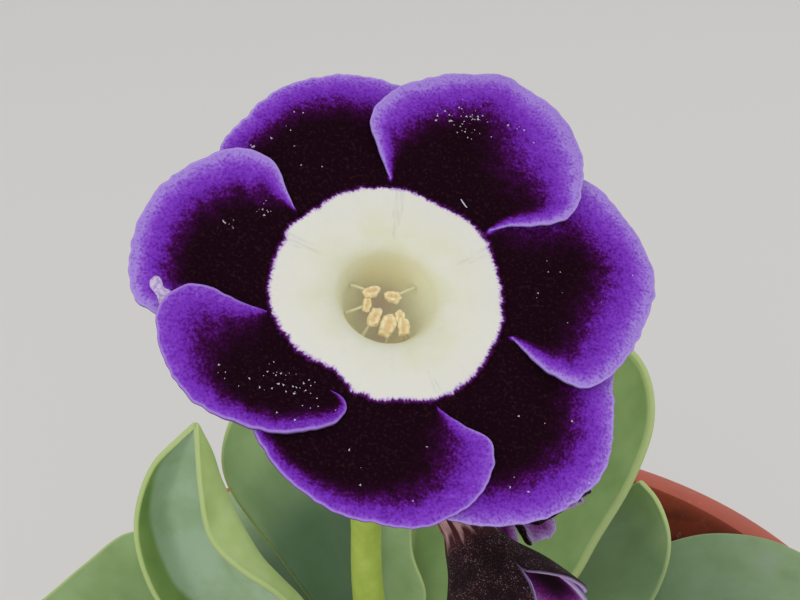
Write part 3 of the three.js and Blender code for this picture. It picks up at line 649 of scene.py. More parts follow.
def make_pot():
    """The moulded pot: a tapered body, a wider band below a flat lip, drain holes in a shallow channel."""
    foot, shoulder, rim, top = FOOT_RADIUS, SHOULDER_RADIUS, RIM_RADIUS, POT_HEIGHT
    band_foot = top - BAND_HEIGHT
    lip_inner = rim - LIP_WIDTH
    rings = [
        (DRAIN_CIRCLE - 6, 0), (DRAIN_CIRCLE - 5.6, 0.2), (DRAIN_CIRCLE - 5, CHANNEL_DEPTH),
        (DRAIN_CIRCLE + 5, CHANNEL_DEPTH), (DRAIN_CIRCLE + 5.6, 0.2), (DRAIN_CIRCLE + 6, 0),
        (foot - 0.7, 0), (foot - 0.2, 0.25), (foot, 0.8), (shoulder, band_foot),
        (shoulder + 0.2, band_foot + 0.15), (shoulder + 1.1, band_foot + 0.35),
        (shoulder + 1.25, band_foot + 0.7), (rim - 0.75, top - 2.6), (rim - 0.45, top - 2.2),
        (rim - 0.1, top - 1.7), (rim, top - 1.2), (rim - 0.05, top - 0.6), (rim - 0.25, top - 0.2),
        (rim - 0.7, top), (lip_inner + 0.7, top), (lip_inner + 0.2, top - 0.15), (lip_inner, top - 0.6),
        (lip_inner - 0.3, top - 3), (shoulder - WALL, band_foot), (foot - WALL, FLOOR + 1),
        (foot - WALL - 0.3, FLOOR + 0.3), (foot - WALL - 1, FLOOR),
    ]
    pot = turned_piece("moulded_pot", rings, POT_SEGMENTS)
    drains = []
    for i in range(DRAIN_COUNT):
        x, y = polar(DRAIN_CIRCLE, 360 * (i + 0.5) / DRAIN_COUNT)
        drains.append(added("drain", bpy.ops.mesh.primitive_cylinder_add, vertices=32,
                            radius=DRAIN_RADIUS * MM, depth=6 * MM, location=(x * MM, y * MM, MM)))
    cutter = joined("drain_cutter", drains)
    apply_modifier(pot, "drains", "BOOLEAN", operation="DIFFERENCE", object=cutter)
    bpy.data.objects.remove(cutter)
    points = points_of(pot)
    # The line up the middle of the wall tells the inner side, which gets painted shade and lime specks, from
    # the outer one
    mid_wall = np.interp(points[:, 2], [FLOOR, band_foot, top],
                         [foot - WALL / 2, shoulder - WALL / 2, lip_inner + 0.1])
    inside = (np.hypot(points[:, 0], points[:, 1]) < mid_wall) & (points[:, 2] > FLOOR)
    mark(pot, "damp", np.where(inside, np.clip((top - points[:, 2]) / INSIDE_FALL, 0, 1), 0))
    finish_piece(pot, pot_plastic(), ["pot"])
    pick(pot)
    bpy.ops.object.shade_smooth_by_angle(angle=math.radians(35))


def soil_height(x, y):
    """Height of the compost's surface, with low mounds and crumbs."""
    wave = np.sin(0.9 * x + 1.7 * np.sin(0.5 * y)) * np.cos(0.8 * y)
    mound = 0.8 * np.exp(-((x - CROWN_AXIS[0]) ** 2 + (y - CROWN_AXIS[1]) ** 2) / 90)
    return SOIL_TOP + 0.6 * wave + mound + 0.5 * noise_at(x * 0.9, y * 0.9, 0)


def make_soil():
    """The compost: a turned body with a rough top around the rootstock, and loose crumbs on it."""
    inner_foot = FOOT_RADIUS - WALL
    rings = [(inner_foot - 1.6, FLOOR + 0.3), (inner_foot, FLOOR + 1.6), (SOIL_RADIUS, SOIL_TOP - 0.9)]
    rings += [(radius, SOIL_TOP) for radius in np.linspace(SOIL_RADIUS - 0.3, 0.6, SOIL_RINGS)]
    soil = turned_piece("compost", rings, 120)
    points = points_of(soil)
    surface = points[:, 2] > SOIL_TOP - 0.5
    points[surface, 2] = soil_height(points[surface, 0], points[surface, 1])
    away = np.hypot(points[:, 0] - CROWN_AXIS[0], points[:, 1] - CROWN_AXIS[1])
    points[surface & (away < CROWN_RADIUS + 0.2), 2] -= 2
    move_points(soil, points)
    first = added("crumb", bpy.ops.mesh.primitive_ico_sphere_add, subdivisions=1, radius=1)
    shape = vectors_of(first, "co")
    faces = [tuple(p.vertices) for p in first.data.polygons]
    bpy.data.objects.remove(first)
    crumbs, corners = [], []
    for _ in range(CRUMB_COUNT):
        reach, turn = CRUMB_REACH * math.sqrt(rng.random()), rng.uniform(0, 360)
        x, y = polar(reach, turn)
        if math.hypot(x - CROWN_AXIS[0], y - CROWN_AXIS[1]) < CROWN_RADIUS + 1:
            continue
        size = 0.3 + 1.1 * rng.random() ** 2
        if reach + size > CRUMB_LIMIT:
            continue
        body = shape * size * rng.uniform(0.7, 1.2, (len(shape), 3)) * (1, 1, 0.7)
        z = soil_height(np.array([x]), np.array([y]))[0]
        corners += [tuple(int(v) + len(crumbs) * len(shape) for v in face) for face in faces]
        crumbs.append(body + (x, y, z + 0.1 * size))
    loose = mesh_piece("compost_crumbs", np.vstack(crumbs), corners)
    finish_piece(joined("compost_bed", [soil, loose]), compost_grit(), ["soil"])


def make_rootstock():
    """The rootstock: a turned stub with uneven swells, where leaves and stalk start."""
    rings = [(2.4, 55), (3.4, 59), (3.9, 63), (4.1, 65), (CROWN_RADIUS, 67), (4.3, 69), (4.1, 70.5),
             (3.9, 71.6), (3.3, CROWN_TOP - 0.1), (1.8, CROWN_TOP)]
    root = turned_piece("corky_rootstock", rings, 48)
    points = points_of(root)
    angle = np.arctan2(points[:, 1], points[:, 0])
    swell = 1 + 0.03 * np.sin(3 * angle + points[:, 2]) + 0.02 * np.sin(5 * angle - 0.7 * points[:, 2])
    points[:, :2] = points[:, :2] * swell[:, None] + CROWN_AXIS
    move_points(root, points)
    finish_piece(root, rootstock_cork(), ["crown"])


# Leaves: a foot on the rootstock as turn and height, a tip, and guide curves from the left to the right
# margin. meal is the share of blue-grey meal, brim the width of the pale margin, and blotch how far the meal
# gathers in patches. shade darkens the lower part: how much, the height where it starts and over how much it
# grows, and the x where it ends and over how much it fades. starts are the guides' places across the foot,
# and strip is the width of a bare green strip inside the left margin, which narrows up to STRIP_TOP.
NO_SHADE = (0, 0, 1, 0, 1)
NO_STRIP = -3
STRIP_TOP = 96
STRIP_FALL = 15
LEAVES = {
    "leaf_1": dict(foot=(190, 66.6), tip=(-46, -6, 78.6), meal=0.3, brim=0.35, guides=[
        [(-19, -2.5, 68.5), (-28, -6, 73), (-35, -9.5, 77), (-40.5, -11, 78.7), (-44.2, -9.3, 79.2)],
        [(-20, 1, 68.5), (-30, 2, 73.5), (-38, -0.5, 77.5)],
        [(-20, 7, 71), (-29, 14, 77.5), (-34.3, 14, 79.5), (-38, 8, 80), (-41, 2.5, 79.9),
         (-44.6, -2, 79.2)]]),
    "leaf_2": dict(foot=(174, 70.3), tip=(-26, 8.5, 96), meal=1.1, brim=0.22, strip=4.4,
                   starts=(-0.5, -0.1, 0.5, 0.1), guides=[
        [(-22, 0.5, 72.5), (-26.5, 1, 76.5), (-30, 2, 80.5), (-32, 5, 86), (-30.5, 7.5, 91.5),
         (-28, 8.5, 94)],
        [(-19.5, 2, 73.5), (-24, 4, 76), (-27, 7, 78), (-29, 9.5, 81.5), (-29.5, 10.5, 86),
         (-28, 10.5, 90.5)],
        [(-13.5, 3, 74.5), (-16.5, 3.5, 79), (-20.1, 5.5, 82), (-24.1, 8, 89.5), (-24.9, 8.5, 93)],
        [(-13.5, 1.5, 74.5), (-18.5, 1, 82), (-21.5, 1.5, 84), (-24.5, 3, 86.5), (-25.5, 5, 91)]]),
    "leaf_3": dict(foot=(104, 70), tip=(-18, 18, 96), meal=0.35, shade=(0.85, 88, 7, -7.5, 2.5), brim=0.2,
                   guides=[
        [(-12, 4.5, 72.5), (-15.5, 6, 77), (-18.5, 8, 80.5), (-24.4, 13, 87), (-24.2, 14.5, 91),
         (-22, 16, 94.5)],
        [(-9.5, 6.5, 71), (-11.5, 9, 74.5), (-13.5, 13, 79), (-16, 16.5, 84), (-17, 18.5, 89.5)],
        [(-6.5, 6, 72), (-4, 8, 75.5), (-5.5, 10.5, 79.5), (-5.5, 13.5, 85), (-7.5, 16.5, 90),
         (-12, 18, 94)]]),
    "leaf_4": dict(foot=(50, 69.6), tip=(14, 21.5, 99.5), meal=0.1, shade=(0.22, 97, 10, 40, 10), brim=0.8,
                   guides=[
        [(-6, 11, 73), (-5.5, 16.5, 79), (-2, 20.5, 86.5), (4, 23.5, 92.5), (9.5, 23.5, 97)],
        [(-4, 6, 70.5), (0.5, 10, 74), (4.5, 15, 80), (8.5, 19, 86), (11.5, 22, 92)],
        [(0, 3.5, 73.5), (9.5, 5, 79), (12.5, 7, 83.5), (16, 9.5, 89), (18, 12.5, 94), (17.5, 16.5, 97.5)]]),
    "leaf_5": dict(foot=(22, 67.2), tip=(18.2, 17, 83.7), meal=0.3, shade=(0.6, 84, 5, 99, 1), brim=0.22,
                   guides=[
        [(0.5, 8.5, 71), (6, 15, 74.5), (11.5, 19.5, 76.5), (15.5, 20.5, 78.5)],
        [(3, 4.5, 70), (9.5, 9.5, 74.5), (14, 14, 77), (17.5, 17, 80)],
        [(9, 1, 72.5), (16.5, 4, 76), (19.5, 7.5, 79), (20.5, 11, 81), (19.6, 14.5, 83)]]),
    "leaf_6": dict(foot=(2, 65), tip=(43, 4, 75.5), meal=0.5, shade=(0.6, 90, 5, 48, 22), brim=0.35,
                   blotch=0.7, guides=[
        [(4, 8, 68.5), (13, 14, 73), (23.5, 16.5, 76.8), (29, 18.5, 75.7), (33, 18, 75.2), (36.5, 14.5, 75.4),
         (41, 9.2, 75.5)],
        [(5, 4.5, 66.5), (14, 6, 70.5), (25, 7.5, 74), (35, 7.5, 75.5)],
        [(4, -0.5, 67.5), (13, -2, 71.5), (24, -4.5, 75.5), (34, -4.2, 76.5), (40.3, -1.3, 76)]]),
    "leaf_7": dict(foot=(134, 66.2), tip=(-23.5, 26, 77.5), meal=0.7, shade=(0.8, 76.5, 4, 99, 1), brim=0.4,
                   guides=[
        [(-15.5, 8, 68.5), (-20.5, 14.5, 72), (-25.5, 20, 75.5), (-26, 23.8, 77)],
        [(-13, 9.5, 68), (-17, 17, 71.5), (-21.5, 23, 75)],
        [(-10.5, 9.5, 68.5), (-12.5, 17.5, 72), (-16.5, 24, 76), (-20.3, 26.4, 77.3)]]),
    "leaf_8": dict(foot=(230, 68.6), tip=(-35, -26.5, 82.5), meal=0.6, brim=0.5, blotch=0.2, guides=[
        [(-15, -7, 71.5), (-20.5, -16, 77), (-27, -25.5, 81.5), (-31.5, -27.7, 82.5)],
        [(-17.5, -5.5, 70.5), (-25, -13.5, 75.5), (-31.5, -22, 80)],
        [(-19, -3.5, 72.5), (-28, -8, 78), (-36, -15.5, 82), (-37.2, -21.5, 82.8)]]),
    "leaf_9": dict(foot=(272, 65.8), tip=(-7, -41.5, 76.5), meal=0.5, brim=0.5, blotch=0.4, guides=[
        [(-3, -9, 69), (1, -19, 73.5), (2.5, -30, 76.5), (0.5, -37, 77), (-3, -40.7, 76.8)],
        [(-7.5, -10, 67.5), (-7, -20, 71.5), (-7, -31, 75.5)],
        [(-11.5, -9.5, 69), (-14.5, -19, 73), (-16, -30, 76), (-13.5, -37.5, 77), (-10.6, -40.8, 76.8)]]),
    "leaf_10": dict(foot=(312, 68.2), tip=(19, -26, 84.5), meal=0.55, brim=0.6, guides=[
        [(0.5, -1.5, 71.5), (8.5, -6, 77), (17.5, -11.5, 82), (22, -18, 84.5), (22.2, -22.7, 84.9)],
        [(-1.5, -6, 70.5), (6, -12.5, 75), (14, -19.5, 80)],
        [(-3.5, -8.5, 72), (0, -17, 77.5), (7, -25.5, 82), (13.5, -27.7, 83.9)]]),
    "leaf_11": dict(foot=(338, 70.8), tip=(2, -3, 81.5), meal=0.4, brim=0.5, guides=[
        [(-2, 1.2, 74), (1, 1, 78.5), (2.4, -0.8, 80.7)],
        [(-2.8, -0.8, 73.5), (0, -1.5, 77.5)],
        [(-3.6, -2.4, 74), (-1.5, -4, 78.5), (0.3, -4.1, 80.7)]]),
}
FOOT_WIDTH = 3.2
LEAF_ROWS = 41
LEAF_COLUMNS = 27
LEAF_THICKNESS = 1.3
MARGIN_SHARE = 0.42
# Rows and columns of the finely spaced sheet from which a leaf's own points are read
SHEET_ROWS = 60
SHEET_COLUMNS = 33


def distance_to_edge(flat, outline):
    """Distance of each point to the nearest point of a closely spaced outline, and that point's index."""
    reach = np.linalg.norm(flat[:, None, :] - outline[None, :, :], axis=2)
    nearest = reach.argmin(axis=1)
    return reach[np.arange(len(flat)), nearest], nearest


def make_leaf(name, material, foot, tip, guides, meal, brim, shade=NO_SHADE, blotch=0, starts=None,
              strip=NO_STRIP):
    """A fleshy leaf spread over its guide curves, with a sunk midrib and a thick pale margin."""
    turn, height = foot
    out_x, out_y = polar(1, turn)
    right = np.array([out_y, -out_x, 0])
    reach = CROWN_RADIUS + 0.25
    base = np.array([CROWN_AXIS[0] + reach * out_x, CROWN_AXIS[1] + reach * out_y, height])
    even = np.linspace(0, 1, SHEET_ROWS)
    stations = 0.55 * even + 0.45 * np.sin(even * np.pi / 2)
    shares = starts or np.linspace(-0.5, 0.5, len(guides))
    curves = [smooth_curve([tuple(base + right * share * FOOT_WIDTH), *points, tip], stations)
              for share, points in zip(shares, guides)]
    sideways = np.linspace(0, 1, SHEET_COLUMNS)
    sheet = np.stack([smooth_curve(row, sideways, by_length=False) for row in zip(*curves)])

    leaf, along, across = flat_grid("mealed_" + name, LEAF_ROWS, LEAF_COLUMNS)
    across = 0.45 * across + 0.55 * (0.5 - 0.5 * np.cos(np.pi * across))
    points = look_up(sheet, along, across)
    move_points(leaf, points)
    sides = np.vstack([smooth_curve(sheet[:, side], np.linspace(0, 1, 400)) for side in (0, -1)])
    margin, _ = distance_to_edge(points, sides)
    rib, _ = distance_to_edge(points, smooth_curve(sheet[:, SHEET_COLUMNS // 2], np.linspace(0, 1, 300)))
    groove = -0.22 * np.exp(-(rib / 0.9) ** 2) * (1 - along)
    swell = 0.22 * noise_at(*(points.T * 0.22))
    points += vectors_of(leaf, "normal") * ((groove + swell) * np.clip(margin / 2, 0, 1))[:, None]
    move_points(leaf, points)
    mark(leaf, "margin", margin)
    mark(leaf, "rib", rib / np.maximum(1 - 0.75 * along, 0.2))
    depth, top, fall, end, fade = shade
    low = np.clip((top - points[:, 2]) / fall, 0, 1) * np.clip((end - points[:, 0]) / fade, 0, 1)
    mark(leaf, "shade", depth * low * np.clip(0.5 + margin / 6 + 0.5 * low**2, 0, 1))
    fading = np.clip((STRIP_TOP - points[:, 2]) / STRIP_FALL, 0, 1)
    mark(leaf, "strip", np.where(across < 0.5, strip * fading - 0.5, NO_STRIP))
    for mark_name, value in (("tone", meal), ("brim", brim), ("blotch", blotch)):
        mark(leaf, mark_name, value)
    middle = 1 - np.abs(2 * across - 1)
    girth = np.maximum(middle * (1 - along), 0.3 * brim * np.exp(-(margin / 0.5) ** 2))
    thicken(leaf, LEAF_THICKNESS, MARGIN_SHARE, girth)
    merge_doubles(leaf)
    finish_piece(leaf, material, [name])


def make_leaves():
    """The eleven leaves, all of one skin."""
    skin = leaf_skin()
    for name, leaf in LEAVES.items():
        make_leaf(name, skin, **leaf)


# Petals of the open bloom: outlines run anticlockwise from notch to notch as (degrees, radius) about the eye,
# laps tell whether each side lies over (1) or under (-1) its neighbour, tone deepens the lobe's violet, and
# violet is the width of the violet border in millimetres at even steps along the outline.
PETALS = [
    dict(laps=(-1, -1), tone=0, violet=(2.6, 2.8, 2.2, 1.7, 1.5), outline=[
        (90, 9), (83, 11), (79, 14), (82, 16.2), (90, 17.1), (99, 17.7), (108, 17.9), (116, 17.5),
        (124, 17.1), (130, 16.5), (136, 16.2), (141, 15.6), (147, 14), (147, 11), (139, 9)]),
    dict(laps=(1, 1), tone=-0.22, violet=(1.5, 4.2, 3.4, 2.6, 2.3), outline=[
        (37, 9), (34, 10.4), (30, 11.6), (27, 13.2), (28, 14.8), (34, 17), (42, 19.2), (50, 20.6),
        (58, 21.2), (65, 21.3), (72, 20), (80, 18.1), (89, 16), (95, 14.3), (97, 12.8), (95, 11), (90, 9)]),
    dict(laps=(1, -1), tone=-0.16, violet=(1.9, 3.1, 2.9, 3.3, 3.6), outline=[
        (342, 9), (339, 9.8), (335, 11.2), (333, 12.8), (334, 14.6), (341, 16.1), (350, 17.4), (360, 18.7),
        (368, 19.6), (378, 19.6), (388, 18.9), (394, 18.4), (400, 17), (404, 14.5), (403, 11.5), (397, 9)]),
    dict(laps=(-1, -1), tone=-0.03, violet=(1.8, 2.2, 2.5, 2.6, 2.3), outline=[
        (292, 9), (284, 10.5), (279, 13.5), (282, 15.8), (288, 16.8), (296, 17.7), (304, 18.4), (312, 18.8),
        (320, 18.9), (329, 18), (338, 16.8), (345, 16.1), (352, 14), (350, 11), (342, 9)]),
    dict(laps=(-1, 1), tone=0.18, violet=(0.6, 1.0, 1.6, 2.5, 3.2), outline=[
        (243, 9), (232, 10), (227, 12), (229, 13.5), (236, 14.4), (246, 15.3), (255, 15.9), (267, 16.3),
        (277, 16.6), (285, 16.1), (293, 15.3), (299, 14), (302, 12.3), (300, 11.5), (297, 10.6), (292, 9)]),
    dict(laps=(1, 1), tone=0.22, violet=(3.6, 3.6, 1.9, 1.2, 1.2), outline=[
        (194, 8.7), (191, 9.9), (187, 11.3), (184, 12.8), (185, 14.1), (190, 15.6), (197, 16.1), (204, 16.1),
        (213, 15.8), (222, 14.8), (232, 13.5), (241, 12.2), (247, 11.2), (251, 10.2), (252, 9.4),
        (250.5, 8.8),
        (247.5, 8.5), (243, 8.42)]),
    dict(laps=(1, -1), tone=-0.2, violet=(2.4, 2.4, 2.2, 1.9, 1.7), outline=[
        (139, 9), (136, 10.4), (133, 12.1), (135, 13.7), (140, 15), (147, 16.1), (155, 17.1), (163, 17.6),
        (173, 17.7), (181, 17.5), (187, 17), (191, 15.6), (197, 13.8), (198, 11.3), (194, 9)]),
]
# Radius of the white eye at angles in degrees, where the purple border cuts in
EYE_EDGE = [(3, 8.0), (22, 8.12), (35, 8.35), (48, 8.45), (60, 8.1), (84, 8.3), (98, 8.2), (110, 8.3),
            (121, 8.12), (129, 7.95), (139, 8.0), (146, 8.35), (156, 8.08), (174, 8.2), (192, 8.3),
            (205, 7.97), (217, 7.72), (228, 7.3), (237, 7.0), (243, 7.25), (251, 7.7), (265, 7.85),
            (277, 7.78), (293, 8.2), (330, 8.0)]
PETAL_STATIONS = 210
ROOT_STATIONS = 18
PETAL_RINGS = [1, 0.99, 0.975, 0.95, 0.915, 0.87, 0.815, 0.75, 0.68, 0.61, 0.54, 0.47, 0.4, 0.33, 0.26, 0.19,
               0.12, 0.06]
PETAL_MIDDLE = 12
PETAL_REACH = 9.5
# Points along a petal's border, and the width of its violet border at the root
BORDER_POINTS = 700
ROOT_VIOLET = 0.12


def eye_edge(angle):
    """Radius of the white eye at an angle in radians."""
    degrees, radii = zip(*EYE_EDGE)
    return np.interp(np.degrees(angle) % 360, degrees, radii, period=360)


def mark_limb(piece, x, y):
    """The marks that petals and eye share: distance past the eye's border, and a frame for radial streaks."""
    angle = np.arctan2(y, x)
    radius = np.hypot(x, y)
    mark(piece, "fringe", radius - eye_edge(angle))
    mark(piece, "streak", np.stack([PETAL_ROOT * np.cos(angle), PETAL_ROOT * np.sin(angle), 0.6 * radius],
                                   axis=1))


def petal_height(flat, start, end, laps):
    """Height above the plane of the eye: a shallow dish whose sides lie over or under their neighbours."""
    turn = np.degrees(np.arctan2(flat[:, 1], flat[:, 0]))
    away = (turn - (start + end) / 2 + 180) % 360 - 180
    side = np.clip(2 * away / (end - start), -1, 1)
    along = np.maximum(0, (np.hypot(flat[:, 0], flat[:, 1]) - PETAL_ROOT) / PETAL_REACH)
    lap = np.where(side < 0, laps[0], laps[1])
    dish = 0.9 * np.sin(along * 2.2) - 0.5 * along
    lapped = PETAL_LAP * lap * np.abs(side) ** 1.4 * np.minimum(1, 2.2 * along)
    return dish + lapped - 0.25 * (1 - side**2), side, along


def flat_disc(name, loop, centre, rings):
    """A flat sheet in rings about a centre inside a closed outline, drawn in from a circle."""
    piece = added(name, bpy.ops.mesh.primitive_circle_add, vertices=len(loop), radius=1, fill_type="NOTHING")
    bpy.ops.object.mode_set(mode="EDIT")
    bpy.ops.mesh.select_all(action="SELECT")
    for wide, narrow in zip(rings, rings[1:]):
        bpy.ops.mesh.extrude_edges_move()
        bpy.ops.transform.resize(value=(narrow / wide, narrow / wide, 1), center_override=(0, 0, 0))
    bpy.ops.mesh.extrude_edges_move()
    bpy.ops.mesh.merge(type="CENTER")
    bpy.ops.mesh.select_all(action="SELECT")
    bpy.ops.mesh.normals_make_consistent(inside=False)
    bpy.ops.object.mode_set(mode="OBJECT")
    if sum(face.normal.z for face in piece.data.polygons) < 0:
        piece.data.flip_normals()
    flat = vectors_of(piece, "co")
    share = np.hypot(flat[:, 0], flat[:, 1])
    station = np.round(np.arctan2(flat[:, 1], flat[:, 0]) / (2 * np.pi) * len(loop)).astype(int) % len(loop)
    return piece, centre + (loop[station] - centre) * share[:, None]


def make_petal(number, laps, tone, violet, outline):
    """One lobe of the open bloom; returns it with its points on the plane of the eye and their heights."""
    share = np.linspace(0, 1, PETAL_STATIONS)
    edge = smooth_curve([tuple(polar(radius, degrees)) for degrees, radius in outline], share)
    run = np.concatenate([[0], np.cumsum(np.linalg.norm(np.diff(edge, axis=0), axis=1))])
    tangent = np.gradient(edge, axis=0)
    tangent /= np.linalg.norm(tangent, axis=1, keepdims=True)
    outward = np.stack([tangent[:, 1], -tangent[:, 0]], axis=1)
    fade = np.sin(np.pi * share) ** 0.5
    waves = 0.13 * noise_at(run * 1.5, number * 7.3, 0) + 0.16 * noise_at(run * 0.35, number * 3.1, 5)
    edge = edge + outward * (fade * waves)[:, None]
    start, end = outline[0][0], outline[-1][0]
    loop = np.vstack([edge, polar(PETAL_ROOT, np.linspace(end, start, ROOT_STATIONS))])
    petal, flat = flat_disc(f"petal_{number}", loop, polar(PETAL_MIDDLE, (start + end) / 2), PETAL_RINGS)

    height, side, along = petal_height(flat, start, end, laps)
    ripple = noise_at(flat[:, 0] * 0.45, flat[:, 1] * 0.45, number)
    height = height + 0.2 * ripple * along**2 + 0.05 * np.sin(11 * side + 2 * number) * along
    even = np.linspace(0, 1, BORDER_POINTS)
    border = smooth_curve(edge, even)
    width = np.interp(even, np.linspace(0, 1, 7), [ROOT_VIOLET, *violet, ROOT_VIOLET])
    margin, nearest = distance_to_edge(flat, border)
    mark(petal, "margin", margin)
    reach = np.linalg.norm(flat[:, None, :] - border[None, :, :], axis=2) / width
    mark(petal, "rim", np.minimum(reach.min(axis=1) + tone, 3))
    # lining: how strongly the painted highlight along the edge shows, fading to none at the notches
    mark(petal, "lining", 0.5 * np.clip(np.sin(np.pi * even[nearest]) / 0.35 - 0.1, 0, 1))
    mark_limb(petal, flat[:, 0], flat[:, 1])
    surface = np.column_stack([flat, height])
    move_points(petal, placed(surface, PIP_FRAME))
    thicken(petal, PETAL_THICKNESS, rounds=0)
    return petal, surface


# Where loose meal lies on the petals: the lobe, its place on the plane of the eye, its spread and flakes
MEAL_DRIFTS = [(1, (6, 14.4), 1.0, 46), (1, (8.9, 14), 0.7, 8), (1, (4, 14), 0.7, 6),
               (6, (-9.2, 5.3), 0.4, 9), (6, (-11.4, 4.1), 0.5, 9), (5, (-6, -7.6), 0.9, 34),
               (5, (-8, -6.9), 0.7, 14), (5, (-11, -6.7), 0.5, 5), (2, (13, 2), 2.4, 9),
               (0, (-6, 11.5), 2.4, 9), (3, (10, -10), 2.6, 8), (4, (-1, -13), 2.6, 8),
               (0, (-9.78, 10.45), 0.12, 6)]
# A flake that falls farther than this from a point of its petal is left out; sizes of the others
FLAKE_REACH = 0.3
FLAKE_SIZES = (0.04, 0.13)
# A fallen hair on the second lobe and a torn pale patch on the last one, on the plane of the eye
HAIR_LOBE = 1
FALLEN_HAIR = [(5.17, 7.83), (5.38, 7.5), (5.6, 7.18)]
TORN_PATCH = [(-16.1, -1.15), (-15.6, -1.75), (-15.35, -2.4), (-15, -1.95), (-14.65, -1.4), (-15.2, -1.05),
              (-15.45, -0.45), (-15.75, -0.25), (-16.15, -0.6)]


def ground_at(surface, x, y):
    """How far the nearest point of a petal lies from a place on the eye's plane, and how high it is."""
    away = np.hypot(surface[:, 0] - x, surface[:, 1] - y)
    return away.min(), surface[away.argmin(), 2]


def scatter_meal(surfaces, material):
    """Flakes of meal in loose drifts on the petals, each a small four-sided chip, and a fallen hair."""
    corners = np.array([(1, 0, 0), (-0.5, 0.8, 0), (-0.5, -0.8, 0), (0, 0, 0.7)])
    faces = [(0, 2, 1), (0, 1, 3), (1, 2, 3), (2, 0, 3)]
    points, shells = [], []
    for lobe, (x, y), reach, count in MEAL_DRIFTS:
        for _ in range(count):
            px, py = x + rng.normal(0, reach), y + rng.normal(0, reach)
            gap, ground = ground_at(surfaces[lobe], px, py)
            if gap > FLAKE_REACH:
                continue
            size = rng.uniform(*FLAKE_SIZES)
            turn = rng.uniform(0, 2 * np.pi)
            spin = np.array([[np.cos(turn), -np.sin(turn), 0], [np.sin(turn), np.cos(turn), 0], [0, 0, 1]])
            flake = (corners * (size * rng.uniform(0.6, 1.6), size, size)) @ spin.T
            shells += [tuple(v + 4 * len(points) for v in face) for face in faces]
            points.append(flake + (px, py, ground + PETAL_THICKNESS / 2 - 0.01))
    chips = mesh_piece("chips", placed(np.vstack(points), PIP_FRAME), shells)
    path = np.array([(x, y, ground_at(surfaces[HAIR_LOBE], x, y)[1] + 0.2) for x, y in FALLEN_HAIR])
    hair = stem("fallen_hair", placed(path, PIP_FRAME), [0.035, 0.045, 0.03], 8)
    finish_piece(joined("meal_flakes", [chips, hair]), material)


def make_torn_patch(surface):
    """The torn patch: a thin pale skin that lifts off the petal's side."""
    loop = smooth_curve(TORN_PATCH + TORN_PATCH[:1], np.linspace(0, 1, 49))[:-1]
    patch, flat = flat_disc("torn_petal_skin", loop, loop.mean(axis=0), [1, 0.8, 0.6, 0.4, 0.2])
    ground = np.array([ground_at(surface, x, y)[1] for x, y in flat])
    lift = PETAL_THICKNESS / 2 + 0.06 + 0.12 * noise_at(flat[:, 0] * 2, flat[:, 1] * 2, 9)
    move_points(patch, placed(np.column_stack([flat, ground + lift]), PIP_FRAME))
    thicken(patch, 0.08, rounds=0)
    finish_piece(patch, torn_skin())


def make_petals():
    """The open bloom's seven lobes as one ring, with the meal and the torn patch on them."""
    made = [make_petal(number, **petal) for number, petal in enumerate(PETALS)]
    ring = joined("velvet_petals", [piece for piece, _ in made])
    finish_piece(ring, petal_velvet(), ["pip_petals"])
    surfaces = [surface for _, surface in made]
    scatter_meal(surfaces, farina())
    make_torn_patch(surfaces[-1])


# Inner and outer outline of the eye, throat and tube as (radius, height) about the bloom's axis
THROAT = [(8.38, 0.15), (7.8, 0.2), (7, 0.26), (6.2, 0.3), (5.4, 0.29), (4.8, 0.22), (4.3, 0.08),
          (3.9, -0.14), (3.55, -0.5), (3.3, -1.0), (3.05, -1.7), (2.75, -2.5), (2.35, -3.3), (1.95, -4.1),
          (1.6, -4.7), (1.1, -5.2), (0.4, -5.5)]
TUBE = [(1.2, -TUBE_LENGTH), (1.9, -TUBE_LENGTH + 0.3), (2.1, -10), (TUBE_RADIUS, -8), (2.25, -6.2),
        (2.45, -4.8), (2.95, -3.4), (3.5, -2.2), (4.2, -1.1), (5.1, -0.5), (6.2, -0.38), (7.4, -0.3),
        (8.38, -0.16)]
EYE_SEGMENTS = 280
# Fine wrinkles of the eye by the notches: turn in degrees, and the radius at which each starts
WRINKLES = [(83, 5.2), (85, 4.4), (87.5, 5.8), (149.5, 6.2), (152, 5.4), (154, 6.8), (25.5, 6.3), (28, 5.4),
            (30.5, 6.8), (294, 6.2), (296.5, 7)]


